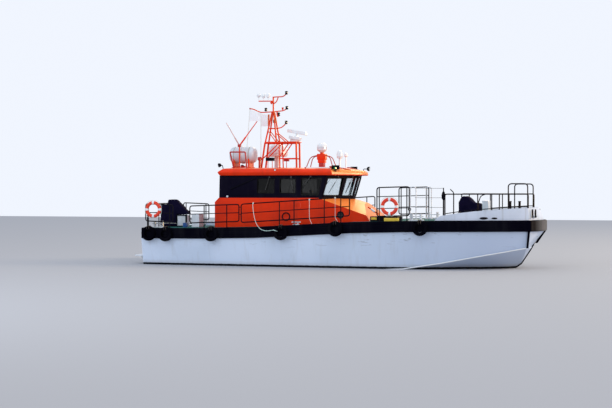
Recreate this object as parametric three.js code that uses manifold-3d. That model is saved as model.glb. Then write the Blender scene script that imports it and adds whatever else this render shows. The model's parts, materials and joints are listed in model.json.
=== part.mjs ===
// Pilot boat, about 17.9 m long: a hard-chine hull with a deckhouse, mast, rails and running gear.
// Millimetres. X points forward, Y to port, Z up. The origin is on the centreline at the waterline.
import * as THREE from "three";
import { ConvexGeometry } from "three/addons/geometries/ConvexGeometry.js";
import { mergeVertices } from "three/addons/utils/BufferGeometryUtils.js";
import Module from "manifold-3d";

const wasm = await Module();
wasm.setup();

const SEAT = 0.3; // gap between touching pieces
const far = 12000; // beyond the whole boat
const RUN = 1.5; // radial clearance of a shaft in its round hole

// Hull lines
// Columns: keel x, keel z, chine x, chine y, chine z, sheer x, sheer y, sheer z
const STATIONS = [
  [-8350, -640, -8350, 2080, -190, -8350, 2330, 1620],
  [-5500, -760, -5500, 2150, -185, -5500, 2420, 1640],
  [-3000, -840, -3000, 2180, -175, -3000, 2450, 1700],
  [-800, -890, -800, 2190, -150, -800, 2460, 1830],
  [1200, -915, 1200, 2180, -100, 1200, 2450, 1945],
  [3400, -910, 3400, 2130, 0, 3400, 2400, 2010],
  [5000, -850, 5000, 1990, 260, 5000, 2280, 2030],
  [6400, -640, 6400, 1750, 525, 6400, 2050, 2040],
  [7500, -190, 7500, 1490, 725, 7550, 1700, 2043],
  [8050, 200, 8050, 1340, 832, 8150, 1460, 2045],
  [8400, 740, 8400, 1230, 893, 8520, 1280, 2045],
  [8460, 830, 8470, 660, 900, 8860, 700, 2050],
  [8490, 880, 8500, 60, 905, 9005, 60, 2050],
];
const CAMBER = 30; // rise of the deck at the centreline
const CHINE_RAIL = { out: 65, half: 35, lip: 12 };
const KNUCKLE = 470; // height of the vertical strake behind the fender band

// Fender band and tyres
const BAND = { thick: 115, rise: 10, height: 465, round: 35 };
const STERN_X = -8350;
const SIDE_BAND = { aft: -8290, fore: 8300 }; // the bow band starts at its fore end
const STERN_BAND = { thick: 60, half: 2200 };
const STERN_PLATFORM = { reach: 480, half: 1950, bottom: 340, top: 410, knees: [-1500, 0, 1500] };
const TYRE = { outer: 320, inner: 180, width: 185, sunk: 12 };
const TYRES = [
  // x, z of the centre
  [-7900, 1390],
  [-7090, 1370],
  [-4940, 1400],
  [-1760, 1490],
  [630, 1670],
  [4200, 1730],
];

// Bulwark round the foredeck
// Columns: foot x, top x, top z
const BULWARK = [
  [4780, 4780, 2075],
  [5000, 5000, 2230],
  [5190, 5190, 2265],
  [5810, 5810, 2360],
  [6400, 6400, 2430],
  [7550, 7550, 2515],
  [8150, 8130, 2550],
  [8520, 8470, 2560],
  [8860, 8700, 2580],
  [9005, 8790, 2590],
];
const PLATE = { wall: 45, edge: 4 }; // bulwark thickness, and how far it stands in from the deck's edge

// Running gear, for one side
const SHAFT = { y: 950, x: -7300, z: -950, slope: 8.5, radius: 40, length: 3350 };
const PROPELLER = { radius: 360, hub: 70, hubLength: 190, blades: 4 };
const BRACKET = { near: 330, far: 590, barrel: 72, thick: 44 };
const RUDDER = { x: -7900, top: -545, foot: -1290, nose: 140, tail: 320, half: 32, stock: 32, into: -250 };

// Deckhouse
const HOUSE = { aft: -5100, half: 1720, sill: 2960, wall: 60 };
const HOUSE_FRONT = {
  corner: [-380, 1720, 2960], // where the sloped shoulder starts on the side
  foot: [1760, 1720, 2220], // lower front corner of the shoulder
  brow: [780, 320, 2908], // under the centre windscreen
  lip: [1360, 440, 2717], // upper front corner of the shoulder
};
const FRONT_RAKE = 0.54; // how far the front wall leans back for each unit of height
const ROOF = { bottom: 3930, waist: 4085, top: 4240, crown: 4300 };
const WINDOWS = { bottom: 2960, top: ROOF.bottom - SEAT, wall: 50 };
// Plan of the window band, half outline: x, y
const BAND_LOW = [
  [-4905, 1700],
  [-270, 1700],
  [800, 225],
];
const BAND_HIGH = [
  [-4895, 1665],
  [10, 1665],
  [1075, 290],
];
const SIDE_WINDOWS = [
  // aft x, fore x, bottom z, top z, how far the fore edge leans
  [-3140, -2360, 3160, 3800, 0],
  [-2110, -1390, 3160, 3800, 0],
  [-1140, -370, 3060, 3830, 150],
];
// Front panes: heights, the share of the wall at which the post between two panes stands, widths beside them
const FRONT_PANES = { low: 3050, high: 3840, postShare: 0.585, post: 130, corner: 95, nose: 60, centre: 50 };
const AFT_PANES = { near: 560, end: 1420, low: 3120, high: 3820 };
const GLASS = 8;
const DOOR = { half: 370, sill: 1900, top: 3830, thick: 45, clear: 8, x: -4897, jamb: 60 };

// Rails
const RAIL = { radius: 21, post: 19, bar: 15, sides: 6, bend: 110 };

// Roof gear
const MAST = {
  y: 250, // half width of the platform frame
  deck: 5410, // height of the platform
  aft: -3260,
  mid: -2600,
  fore: -1800,
  x: -2950, // the pole
  neck: 6780,
  peak: 7490,
  tube: 34,
};
const RADAR = { x: -1900, tilt: 10, turn: -36, length: 1350, z: 5490 };
const RAFT = { x: -4370, z: 4880, radius: 370, half: 600 };
const LAMP = { x: -680, z: 4640 };

const colours = {
  hullWhite: [0xdfe6ee, 0.45, 0.0],
  rubber: [0x0b0c10, 0.85, 0.0],
  deckWhite: [0xe4e8ec, 0.45, 0.0],
  orange: [0xe03a0c, 0.4, 0.0],
  navy: [0x14182c, 0.3, 0.0],
  glass: [0x1c2624, 0.08, 0.0],
  black: [0x15161c, 0.5, 0.0],
  white: [0xf2f2f0, 0.4, 0.0],
  red: [0xc01616, 0.5, 0.0],
  bronze: [0xa9803c, 0.35, 0.9],
  steel: [0x9aa0a6, 0.35, 0.9],
  vinyl: [0x24262c, 0.6, 0.0],
  cover: [0x191a33, 0.85, 0.0],
  cloth: [0xf3f3f3, 0.9, 0.0],
  rope: [0x9fd8cf, 0.9, 0.0],
};
const materials = {};
for (const [name, [color, roughness, metalness]] of Object.entries(colours))
  materials[name] = new THREE.MeshStandardMaterial({ name, color, roughness, metalness });

// Solids from three.js geometries

function signedVolume(positions, order) {
  const [a, b, c] = [new THREE.Vector3(), new THREE.Vector3(), new THREE.Vector3()];
  let sum = 0;
  for (let i = 0; i < order.length; i += 3) {
    a.fromArray(positions, order[i] * 3);
    b.fromArray(positions, order[i + 1] * 3);
    c.fromArray(positions, order[i + 2] * 3);
    sum += a.dot(b.cross(c)) / 6;
  }
  return sum;
}

function solid(geometry) {
  const bare = geometry.index ? geometry.toNonIndexed() : geometry.clone();
  bare.deleteAttribute("normal");
  bare.deleteAttribute("uv");
  const merged = mergeVertices(bare, 1e-3);
  const triVerts = new Uint32Array(merged.index.array);
  const vertProperties = merged.attributes.position.array;
  if (signedVolume(vertProperties, triVerts) < 0) triVerts.reverse();
  return new wasm.Manifold(new wasm.Mesh({ numProp: 3, vertProperties, triVerts }));
}

function shapeOf(body) {
  const mesh = body.getMesh();
  const geometry = new THREE.BufferGeometry();
  geometry.setAttribute("position", new THREE.BufferAttribute(new Float32Array(mesh.vertProperties), 3));
  geometry.setIndex(new THREE.BufferAttribute(new Uint32Array(mesh.triVerts), 1));
  return geometry;
}

const join = (...bodies) => bodies.flat().reduce((all, body) => all.add(body));
const cut = (body, ...tools) => tools.flat().reduce((left, tool) => left.subtract(tool), body);
const moved = (body, x, y, z) => solid(shapeOf(body).translate(x, y, z));
const mirrorPoint = ([x, y, z]) => [x, -y, z];
const degrees = (angle) => (angle * Math.PI) / 180;

// Triangles that close a ring of points, in the ring's own order
function capOf(ring) {
  const normal = new THREE.Vector3();
  ring.forEach(([x, y, z], i) => {
    const [u, v, w] = ring[(i + 1) % ring.length];
    normal.add(new THREE.Vector3((y - v) * (z + w), (z - w) * (x + u), (x - u) * (y + v)));
  });
  const size = [Math.abs(normal.x), Math.abs(normal.y), Math.abs(normal.z)];
  const drop = size.indexOf(Math.max(...size));
  const flat = ring.map((p) => new THREE.Vector2(...p.filter((_, axis) => axis !== drop)));
  const way = Math.sign(THREE.ShapeUtils.area(flat));
  return THREE.ShapeUtils.triangulateShape(flat, []).map((tri) =>
    Math.sign(THREE.ShapeUtils.area(tri.map((i) => flat[i]))) === way ? tri : tri.toReversed(),
  );
}

// A solid through rings that all have the same number of points
function loft(rings) {
  const count = rings[0].length;
  const last = (rings.length - 1) * count;
  const order = [];
  for (let start = 0; start < last; start += count)
    for (let i = 0; i < count; i++) {
      const a = start + i;
      const b = start + ((i + 1) % count);
      order.push(a, b, b + count, a, b + count, a + count);
    }
  for (const tri of capOf(rings[0])) order.push(...tri.toReversed());
  for (const tri of capOf(rings.at(-1))) order.push(...tri.map((i) => i + last));
  const geometry = new THREE.BufferGeometry();
  geometry.setAttribute("position", new THREE.Float32BufferAttribute(rings.flat(2), 3));
  return solid(geometry.setIndex(order));
}

const prismX = (outline, x0, x1) => loft([x0, x1].map((x) => outline.map(([y, z]) => [x, y, z])));
const prismY = (outline, y0, y1) => loft([y0, y1].map((y) => outline.map(([x, z]) => [x, y, z])));
const prismZ = (outline, z0, z1) => loft([z0, z1].map((z) => outline.map(([x, y]) => [x, y, z])));
const convex = (points) => solid(new ConvexGeometry(points.map((p) => new THREE.Vector3(...p))));

function box(x0, x1, y0, y1, z0, z1) {
  const geometry = new THREE.BoxGeometry(x1 - x0, y1 - y0, z1 - z0);
  return solid(geometry.translate((x0 + x1) / 2, (y0 + y1) / 2, (z0 + z1) / 2));
}

// A path through given points, with the section turned halfway at each of them
class PointPath extends THREE.Curve {
  constructor(points) {
    super();
    this.points = points.map((p) => new THREE.Vector3(...p));
  }
  getPointAt(u) {
    return this.points[Math.round(u * (this.points.length - 1))].clone();
  }
  getTangentAt(u) {
    const i = Math.round(u * (this.points.length - 1));
    const ways = [i - 1, i]
      .filter((k) => k >= 0 && k + 1 < this.points.length)
      .map((k) => this.points[k + 1].clone().sub(this.points[k]).normalize());
    return ways.reduce((sum, way) => sum.add(way), new THREE.Vector3()).normalize();
  }
}

function pipe(points, radius, sides = RAIL.sides) {
  const section = new THREE.Shape(
    Array.from({ length: sides }, (_, i) => {
      const angle = (2 * Math.PI * i) / sides;
      return new THREE.Vector2(radius * Math.cos(angle), radius * Math.sin(angle));
    }),
  );
  const options = { steps: points.length - 1, extrudePath: new PointPath(points), bevelEnabled: false };
  return solid(new THREE.ExtrudeGeometry(section, options));
}

const rod = (from, to, radius, sides) => pipe([from, to], radius, sides);

// The same route with each inner corner rounded by a short arc of points
function rounded(points, bend = RAIL.bend, steps = 3) {
  const path = points.map((p) => new THREE.Vector3(...p));
  return path.flatMap((corner, i) => {
    if (i === 0 || i === path.length - 1) return [corner.toArray()];
    const before = path[i - 1].clone().sub(corner);
    const after = path[i + 1].clone().sub(corner);
    const reach = Math.min(bend, before.length() / 2.2, after.length() / 2.2);
    const start = corner.clone().addScaledVector(before.normalize(), reach);
    const end = corner.clone().addScaledVector(after.normalize(), reach);
    return new THREE.QuadraticBezierCurve3(start, corner, end).getPoints(steps).map((p) => p.toArray());
  });
}

function spun(profile, segments, axis) {
  const geometry = new THREE.LatheGeometry(profile.map(([r, h]) => new THREE.Vector2(r, h)), segments);
  if (axis === "z") geometry.rotateX(Math.PI / 2);
  if (axis === "x") geometry.rotateZ(-Math.PI / 2);
  return solid(geometry);
}

const at = (body, [x, y, z]) => moved(body, x, y, z);

// An outline of a convex plan moved inwards
function inset(outline, distance) {
  const count = outline.length;
  const lines = outline.map(([x, y], i) => {
    const [u, v] = outline[(i + 1) % count];
    const length = Math.hypot(u - x, v - y);
    const [nx, ny] = [(y - v) / length, (u - x) / length];
    return [nx, ny, nx * x + ny * y];
  });
  const side = Math.sign(THREE.ShapeUtils.area(outline.map((p) => new THREE.Vector2(...p))));
  return lines.map(([c, d, f], i) => {
    const [a, b, e] = lines[(i + count - 1) % count];
    const [p, q] = [e + side * distance, f + side * distance];
    const det = a * d - b * c;
    return [(p * d - b * q) / det, (a * q - p * c) / det];
  });
}

const bothSides = (half) => [...half.map(([x, y]) => [x, -y]), ...half.map(([x, y]) => [x, y]).reverse()];
const ringAt = (outline, z) => outline.map(([x, y]) => [x, y, z]);

// The boat is one group with a nested group for each region
const boat = new THREE.Group();
const groups = {};
for (const name of ["hull", "gear", "house", "roof", "rails", "deck"]) {
  groups[name] = new THREE.Group();
  boat.add(groups[name]);
}

function place(group, name, body, material, position = [0, 0, 0]) {
  const geometry = shapeOf(body);
  geometry.computeVertexNormals();
  const mesh = new THREE.Mesh(geometry, materials[material]);
  mesh.name = name;
  mesh.position.set(...position);
  groups[group].add(mesh);
}

// Hull

function sheerAt(x, column) {
  const i = STATIONS.findIndex((row) => row[5] >= x);
  if (i <= 0) return STATIONS.at(i)[column];
  const [a, b] = [STATIONS[i - 1], STATIONS[i]];
  return a[column] + ((b[column] - a[column]) * (x - a[5])) / (b[5] - a[5]);
}
const deckZ = (x) => sheerAt(x, 7);
const sideY = (x) => sheerAt(x, 6);

function bottomZ(x, y) {
  const i = STATIONS.findIndex((row) => row[0] >= x);
  const [a, b] = [STATIONS[i - 1], STATIONS[i]];
  const share = (x - a[0]) / (b[0] - a[0]);
  const [keel, chineY, chineZ] = [1, 3, 4].map((c) => a[c] + (b[c] - a[c]) * share);
  return keel + ((chineZ - keel) * y) / chineY;
}

function hullRing([kx, kz, cx, cy, cz, sx, sy, sz]) {
  const { out, half, lip } = CHINE_RAIL;
  const side = [
    [cx, cy, cz - half],
    [cx, cy + out, cz - lip],
    [cx, cy + out, cz + lip],
    [cx, cy, cz + half],
    [sx, sy, sz - KNUCKLE],
    [sx, sy, sz],
  ];
  return [[kx, 0, kz], ...side.map(mirrorPoint), [sx, 0, sz + CAMBER], ...side.toReversed()];
}

const slope = degrees(SHAFT.slope);
const onShaft = (side, s) => [
  SHAFT.x + s * Math.cos(slope),
  side * SHAFT.y,
  SHAFT.z + s * Math.sin(slope),
];
const SIDES = [
  ["starboard", -1],
  ["port", 1],
];

// Hatch coamings: x, y, half length, half width
const HATCHES = {
  aft_hatch: [-6150, 1150, 380, 300],
  fore_hatch: [7190, 0, 330, 300],
};
const COAMING = { height: 110, wall: 40, well: 60 };

function coaming([x, y, halfX, halfY]) {
  const z = deckZ(x) + CAMBER;
  const { height, wall, well } = COAMING;
  const outer = box(x - halfX, x + halfX, y - halfY, y + halfY, z - 60, z + height);
  const inner = [x - halfX + wall, x + halfX - wall, y - halfY + wall, y + halfY - wall];
  return { outer, inner: box(...inner, z - well, z + height + 50) };
}

const coamings = Object.values(HATCHES).map(coaming);
const bareHull = loft(STATIONS.map(hullRing));
const bores = SIDES.flatMap(([, side]) => {
  const stock = (z) => [RUDDER.x, side * SHAFT.y, z];
  return [
    rod(onShaft(side, 1800), onShaft(side, SHAFT.length + SEAT), SHAFT.radius + RUN, 16),
    rod(stock(-1000), stock(RUDDER.into + SEAT), RUDDER.stock + RUN, 16),
  ];
});
const hull = cut(
  join(bareHull, coamings.map((c) => c.outer)),
  coamings.map((c) => c.inner),
  bores,
);
place("hull", "hull", hull, "hullWhite");

const onDeck = moved(bareHull, 0, 0, SEAT);
const seated = (body) => cut(body, onDeck);

// Fender band: a rubber section carried round the sheer line

const sheerLine = STATIONS.map((row) => [row[5], row[6], row[7]]);

function outward(points, i) {
  const before = points[Math.max(i - 1, 0)];
  const here = points[i];
  const after = points[Math.min(i + 1, points.length - 1)];
  const normal = ([ax, ay], [bx, by]) => new THREE.Vector2(by - ay, ax - bx).normalize();
  const first = before === here ? normal(here, after) : normal(before, here);
  const second = after === here ? first : normal(here, after);
  const middle = first.clone().add(second).normalize();
  return middle.multiplyScalar(1 / middle.dot(first));
}

function bandSweep(points) {
  const { thick, rise, height, round } = BAND;
  return loft(
    points.map(([x, y, z], i) => {
      const way = outward(points, i);
      const spot = (out, up) => [x + way.x * out, y + way.y * out, z + up];
      const foot = rise - height;
      return [
        spot(SEAT, foot),
        spot(thick - round, foot),
        spot(thick, foot + round),
        spot(thick, rise - round),
        spot(thick - round, rise),
        spot(SEAT, rise),
      ];
    }),
  );
}

const wholeBand = bandSweep([...sheerLine.map(mirrorPoint), ...sheerLine.toReversed()]);
const ofSide = (side) => (side < 0 ? [-far, -SEAT] : [SEAT, far]);

function tyre() {
  const { outer, inner, width } = TYRE;
  const crown = width / 2;
  const profile = [
    [inner, -crown * 0.6],
    [inner + 60, -crown],
    [outer - 20, -crown * 0.8],
    [outer, 0],
    [outer - 20, crown * 0.8],
    [inner + 60, crown],
    [inner, crown * 0.6],
    [inner, -crown * 0.6],
  ];
  return spun(profile, 16, "y");
}

function sideFender(side) {
  const strake = wholeBand.intersect(box(SIDE_BAND.aft, SIDE_BAND.fore, ...ofSide(side), -far, far));
  const tyres = TYRES.map(([x, z]) =>
    at(tyre(), [x, side * (sideY(x) + BAND.thick - TYRE.sunk + TYRE.width / 2), z]),
  );
  return join(strake, tyres);
}
for (const [word, side] of SIDES) place("hull", "side_fender_" + word, sideFender(side), "rubber");

function bowFender() {
  const belt = wholeBand.intersect(box(SIDE_BAND.fore + 2 * SEAT, far, -far, far, -far, far));
  const foot = deckZ(SIDE_BAND.fore) + BAND.rise - BAND.height;
  const stem = prismY(
    [
      [8640, 1070],
      [8735, 1070],
      [9110, foot + 40],
      [8960, foot + 40],
    ],
    -55,
    55,
  );
  const pads = SIDES.map(([, side]) =>
    convex([
      [8390, side * 1215, 900],
      [8480, side * 1225, 900],
      [8430, side * 1330, 930],
      [8560, side * 1290, foot + 60],
      [8470, side * 1380, foot + 60],
      [8480, side * 1270, foot + 60],
    ]),
  );
  const skin = [moved(bareHull, SEAT, 0, 0), moved(bareHull, 0, SEAT, 0), moved(bareHull, 0, -SEAT, 0)];
  return cut(join(belt, stem, pads), bareHull, skin);
}
place("hull", "bow_fender", bowFender(), "rubber");

function sternFender() {
  const { thick, half } = STERN_BAND;
  const top = deckZ(STERN_X) + BAND.rise;
  return box(STERN_X - thick, STERN_X - SEAT, -half, half, top - BAND.height, top);
}
place("hull", "stern_fender", sternFender(), "rubber");

// Bulwark: a plated wall from the shoulder round the bow
const bulwarkLine = BULWARK.map(([x, topX, topZ]) => ({ x, y: sideY(x), topX, topZ }));

function bulwark() {
  const whole = [...bulwarkLine.map((p) => ({ ...p, y: -p.y })), ...bulwarkLine.toReversed()];
  const plan = whole.map((p) => [p.x, p.y]);
  const rings = whole.map((p, i) => {
    const way = outward(plan, i);
    const spot = (x, depth, z) => [x - way.x * depth, p.y - way.y * depth, z];
    const foot = deckZ(p.x) - 25;
    const inner = PLATE.edge + PLATE.wall;
    return [
      spot(p.x, PLATE.edge, foot),
      spot(p.topX, PLATE.edge, p.topZ),
      spot(p.topX, inner, p.topZ),
      spot(p.x, inner, foot),
    ];
  });
  const stem = box(8850, far, -60, 60, 1900, 2050 + CAMBER + SEAT);
  return cut(seated(loft(rings)), stem);
}
const bulwarkBody = bulwark();
place("hull", "foredeck_bulwark", bulwarkBody, "deckWhite");

// Low platform behind the transom, on two knees
function sternPlatform() {
  const { reach, half, bottom, top, knees } = STERN_PLATFORM;
  const deck = box(STERN_X - reach, STERN_X - SEAT, -half, half, bottom, top);
  const outline = [
    [STERN_X - reach + 60, bottom + 5],
    [STERN_X - SEAT, bottom + 5],
    [STERN_X - SEAT, -40],
  ];
  return join(deck, knees.map((y) => prismY(outline, y - 25, y + 25)));
}
place("hull", "stern_platform", sternPlatform(), "white");

// Running gear

function blade(angle) {
  // Columns: radius, chord, thickness, pitch angle
  const sections = [
    [45, 150, 34, 58],
    [150, 235, 24, 44],
    [270, 250, 15, 31],
    [PROPELLER.radius, 120, 8, 25],
  ];
  const rings = sections.map(([radius, chord, thick, pitch]) => {
    const [c, s] = [Math.cos(degrees(pitch)), Math.sin(degrees(pitch))];
    const corners = [
      [-chord / 2, 0],
      [0, thick / 2],
      [chord / 2, 0],
      [0, -thick / 2],
    ];
    return corners.map(([along, across]) => [along * s + across * c, along * c - across * s, radius]);
  });
  return solid(shapeOf(loft(rings)).rotateX(angle));
}

function propeller() {
  const { hub, hubLength, blades } = PROPELLER;
  const profile = [
    [0, -hubLength / 2 - 60],
    [30, -hubLength / 2 - 50],
    [hub - 8, -hubLength / 2],
    [hub, hubLength / 2],
    [0, hubLength / 2],
  ];
  const turns = Array.from({ length: blades }, (_, i) => (2 * Math.PI * i) / blades);
  return join(spun(profile, 16, "x"), turns.map(blade));
}

function bracket(side) {
  const { near, far: end, barrel, thick } = BRACKET;
  const [x, y, z] = onShaft(side, (near + end) / 2);
  const arm = prismX(
    [
      [y - thick / 2, z],
      [y + thick / 2, z],
      [y + thick / 2, z + 700],
      [y - thick / 2, z + 700],
    ],
    x - 100,
    x + 100,
  );
  const body = join(rod(onShaft(side, near), onShaft(side, end), barrel, 16), arm);
  const bore = rod(onShaft(side, near - 50), onShaft(side, end + 50), SHAFT.radius + RUN, 16);
  return cut(body, bore, moved(bareHull, 0, 0, -SEAT));
}

function rudder() {
  const { top, foot, nose, tail, half, stock, into } = RUDDER;
  const section = [
    [nose, 0],
    [nose * 0.6, half],
    [0, half],
    [-tail, 6],
    [-tail, -6],
    [0, -half],
    [nose * 0.6, -half],
  ];
  return join(prismZ(section, foot, top), rod([0, 0, top - 200], [0, 0, into], stock, 16));
}

for (const [word, side] of SIDES) {
  const hubFore = PROPELLER.hubLength / 2 + SEAT;
  const screw = solid(shapeOf(propeller()).rotateY(-slope));
  place("gear", "propeller_" + word, screw, "bronze", onShaft(side, 0));
  const shaft = rod(onShaft(side, hubFore), onShaft(side, SHAFT.length), SHAFT.radius, 16);
  place("gear", "propeller_shaft_" + word, shaft, "steel");
  place("gear", "shaft_bracket_" + word, bracket(side), "white");
  place("gear", "rudder_" + word, rudder(), "steel", [RUDDER.x, side * SHAFT.y, 0]);
}

// Deckhouse

function houseHull(shrink) {
  const { aft, half, sill } = HOUSE;
  const foot = deckZ(aft) - 150;
  const { corner, foot: low, brow, lip } = HOUSE_FRONT;
  const frontFoot = low[0] + FRONT_RAKE * (low[2] - foot);
  const inwards = ([x, y, z], dx, dz) => [x + dx * shrink, y - shrink, z + dz * shrink];
  const half3d = [
    inwards([aft, half, foot - 200 * (shrink > 0)], 1, 0),
    inwards([aft, half, 2770], 1, 0),
    inwards([aft + 190, half, sill], 1, 0),
    inwards(corner, -0.4, 0),
    inwards(low, -1.1, -0.3),
    inwards([frontFoot, half, foot - 200 * (shrink > 0)], -1.1, 0),
    inwards(brow, -0.6, -1),
    inwards(lip, -1.1, -0.9),
  ];
  return convex([...half3d, ...half3d.map(mirrorPoint)]);
}

const bandRing = (outline, distance, z) => ringAt(inset(bothSides(outline), distance), z);
function planAt(z) {
  const share = (z - WINDOWS.bottom) / (WINDOWS.top - WINDOWS.bottom);
  const between = (a, b) => a + (b - a) * share;
  return BAND_LOW.map(([x, y], i) => [between(x, BAND_HIGH[i][0]), between(y, BAND_HIGH[i][1])]);
}
// A leaning shell of the window band's plan, from one depth in its wall to another
function windowShell(outerInset, innerInset, low, high) {
  const levels = [WINDOWS.bottom - 200, WINDOWS.top + 100];
  const shell = (depth) => loft(levels.map((z) => bandRing(planAt(z), depth, z)));
  return cut(shell(outerInset), shell(innerInset)).intersect(box(-far, far, -far, far, low, high));
}

const houseOuter = houseHull(0);
const houseInner = houseHull(HOUSE.wall);
const cabin = windowShell(0, WINDOWS.wall, WINDOWS.bottom - 130, WINDOWS.top);
const aftWall = DOOR.x + WINDOWS.wall;
const doorway = box(HOUSE.aft - 400, HOUSE.aft + 500, -DOOR.half, DOOR.half, DOOR.sill, DOOR.top);
const wellInner = prismZ(inset(bothSides(BAND_LOW), WINDOWS.wall), HOUSE.sill - 400, HOUSE.sill + 100);

const jambs = [-1, 1].map((side) => {
  const ends = [side * (DOOR.half + SEAT), side * (DOOR.half + DOOR.jamb)].sort((a, b) => a - b);
  return box(HOUSE.aft + 20, aftWall, ...ends, 1500, 2740);
});
const step = box(HOUSE.aft + 20, aftWall, -DOOR.half - 30, DOOR.half + 30, 1500, DOOR.sill);
const houseBody = join(cut(houseOuter, houseInner, wellInner, doorway), jambs, step);
place("house", "deckhouse_lower", seated(houseBody), "orange");

// A window opening in a leaning wall: a block between two plan points, from z0 to z1
function windowCutter(from, to, z0, z1) {
  const block = [z0, z1].flatMap((z, k) =>
    [from, to].flatMap((ends) => {
      const [x, y] = ends[k];
      const way = new THREE.Vector2(from[k][1] - to[k][1], to[k][0] - from[k][0]).normalize();
      return [-1, 1].map((d) => [x + way.x * 160 * d, y + way.y * 160 * d, z]);
    }),
  );
  return convex(block);
}

// The two points of a wall's plan at given distances from its first corner
function wallPoints(a, b, distances) {
  const length = Math.hypot(b[0] - a[0], b[1] - a[1]);
  const [wayX, wayY] = [(b[0] - a[0]) / length, (b[1] - a[1]) / length];
  return distances(length).map((d) => [a[0] + wayX * d, a[1] + wayY * d]);
}

// One opening in a front wall, whose ends are distances along the wall
function frontOpening(wallAt, distances) {
  const { low, high } = FRONT_PANES;
  const [foot, head] = [low, high].map((z) => wallPoints(...wallAt(z), distances));
  return windowCutter([foot[0], head[0]], [foot[1], head[1]], low, high);
}

function windowOpenings() {
  const { postShare, post, corner, nose, centre } = FRONT_PANES;
  const cutters = [];
  for (const [, side] of SIDES) {
    for (const [aft, fore, low, high, lean] of SIDE_WINDOWS) {
      const outline = [
        [aft, low],
        [fore, low],
        [fore + lean, high],
        [aft, high],
      ];
      cutters.push(prismY(outline, side * 1500, side * 1850));
    }
    const wall = (z) => planAt(z).slice(1).map(([x, y]) => [x, side * y]);
    cutters.push(frontOpening(wall, (length) => [corner, length * postShare - post / 2]));
    cutters.push(frontOpening(wall, (length) => [length * postShare + post / 2, length - nose]));
    const ends = [side * AFT_PANES.near, side * AFT_PANES.end].sort((a, b) => a - b);
    cutters.push(box(HOUSE.aft - 200, HOUSE.aft + 500, ...ends, AFT_PANES.low, AFT_PANES.high));
  }
  const noseWall = (z) => {
    const [x, y] = planAt(z)[2];
    return [
      [x, -y],
      [x, y],
    ];
  };
  cutters.push(frontOpening(noseWall, (length) => [centre, length - centre]));
  return cutters;
}

const onHouse = moved(houseOuter, 0, 0, SEAT);
const jambHalf = DOOR.half + DOOR.jamb + SEAT;
const doorCut = join(doorway, box(HOUSE.aft - 400, aftWall + 20, -jambHalf, jambHalf, 1500, 2740 + SEAT));
const band = cut(cabin, onHouse, windowOpenings(), doorCut);
place("house", "window_band", band, "navy");

const paneDepth = WINDOWS.wall + 2 * SEAT;
const lining = windowShell(paneDepth, paneDepth + GLASS, HOUSE.sill + 20, WINDOWS.top - 30);
const doorGap = box(HOUSE.aft - 100, HOUSE.aft + 600, -DOOR.half - 60, DOOR.half + 60, 2000, 4200);
place("house", "window_glass", cut(lining, onHouse, doorGap), "glass");

function roof() {
  const { bottom, waist, top, crown } = ROOF;
  const half3d = [
    [-4870, 1745, bottom],
    [215, 1805, bottom],
    [1250, 500, bottom],
    [-4960, 1830, waist],
    [255, 1850, waist],
    [1310, 500, waist - 40],
    [-4740, 1660, top],
    [200, 1680, top - 30],
    [1210, 460, top - 100],
    [-4650, 500, crown],
    [300, 350, crown - 20],
  ];
  return convex([...half3d, ...half3d.map(mirrorPoint)]);
}
const roofBody = roof();
place("house", "wheelhouse_roof", roofBody, "orange");
const onRoof = moved(roofBody, 0, 0, SEAT);
const seatedOnRoof = (body) => cut(body, onRoof);

// Aft door, hinged on its starboard edge: the mesh's own origin is on the hinge line
function aftDoor() {
  const { half, sill, top, thick, clear } = DOOR;
  const width = 2 * (half - clear);
  const leaf = box(0, thick, 0, width, sill + clear, top - clear);
  const opening = box(-20, thick + 20, 150, width - 150, 3120, 3720);
  const pane = box(thick / 2 - 4, thick / 2 + 4, 140, width - 140, 3110, 3730);
  const grip = (face, reach) =>
    join(
      rod([face, width - 90, 2650], [reach, width - 90, 2650], 12),
      rod([reach, width - 90, 2620], [reach, width - 90, 2800], 12),
    );
  const hinge = rod([0, 0, sill + 150], [0, 0, top - 150], clear - SEAT, 12);
  return join(cut(leaf, opening), pane, hinge, grip(5, -50), grip(thick - 5, thick + 50));
}
place("house", "aft_door", aftDoor(), "orange", [DOOR.x, DOOR.clear - DOOR.half, 0]);

// Helm console and two helm seats, seen through the windows
function helmConsole() {
  const points = SIDES.flatMap(([, side]) => [
    [150, side * 1050, 1700],
    [950, side * 900, 1700],
    [150, side * 1050, 2700],
    [300, side * 900, 2780],
    [800, side * 420, 2720],
  ]);
  return seated(convex(points));
}
place("house", "helm_console", helmConsole(), "black");

function helmSeat(x, y) {
  const floor = deckZ(x) - 60;
  const column = join(
    box(x - 180, x + 180, y - 180, y + 180, floor, deckZ(x) + CAMBER + 40),
    rod([x, y, floor], [x, y, 2480], 60, 12),
  );
  const cushion = box(x - 260, x + 240, y - 250, y + 250, 2460, 2590);
  const back = convex(
    [-1, 1].flatMap((d) => [
      [x - 280, y + 240 * d, 2560],
      [x - 160, y + 240 * d, 2560],
      [x - 370, y + 170 * d, 3360],
      [x - 280, y + 170 * d, 3360],
    ]),
  );
  const arms = [-1, 1].map((d) => box(x - 240, x + 120, y + d * 285 - 35, y + d * 285 + 35, 2760, 2820));
  const stays = [-1, 1].map((d) => box(x - 250, x - 190, y + d * 265 - 25, y + d * 265 + 25, 2480, 2790));
  return seated(join(column, cushion, back, arms, stays));
}
place("house", "helm_seat_starboard", helmSeat(-700, -600), "vinyl");
place("house", "helm_seat_port", helmSeat(-700, 600), "vinyl");

// Halyards from the mast's after yard to the roof
const HALYARD_RADIUS = 6;
const HALYARDS = [
  // face: how far the six-sided line's fore face is from its centre
  { top: [-4060, 0, 6963], foot: [-4060, -640, 4150], face: 6 },
  { top: [-3540, 0, 6790], foot: [-3540, 0, 4150], face: 5.2 },
];

// Mast: a braced platform with a tapering frame and a pole on it

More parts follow.
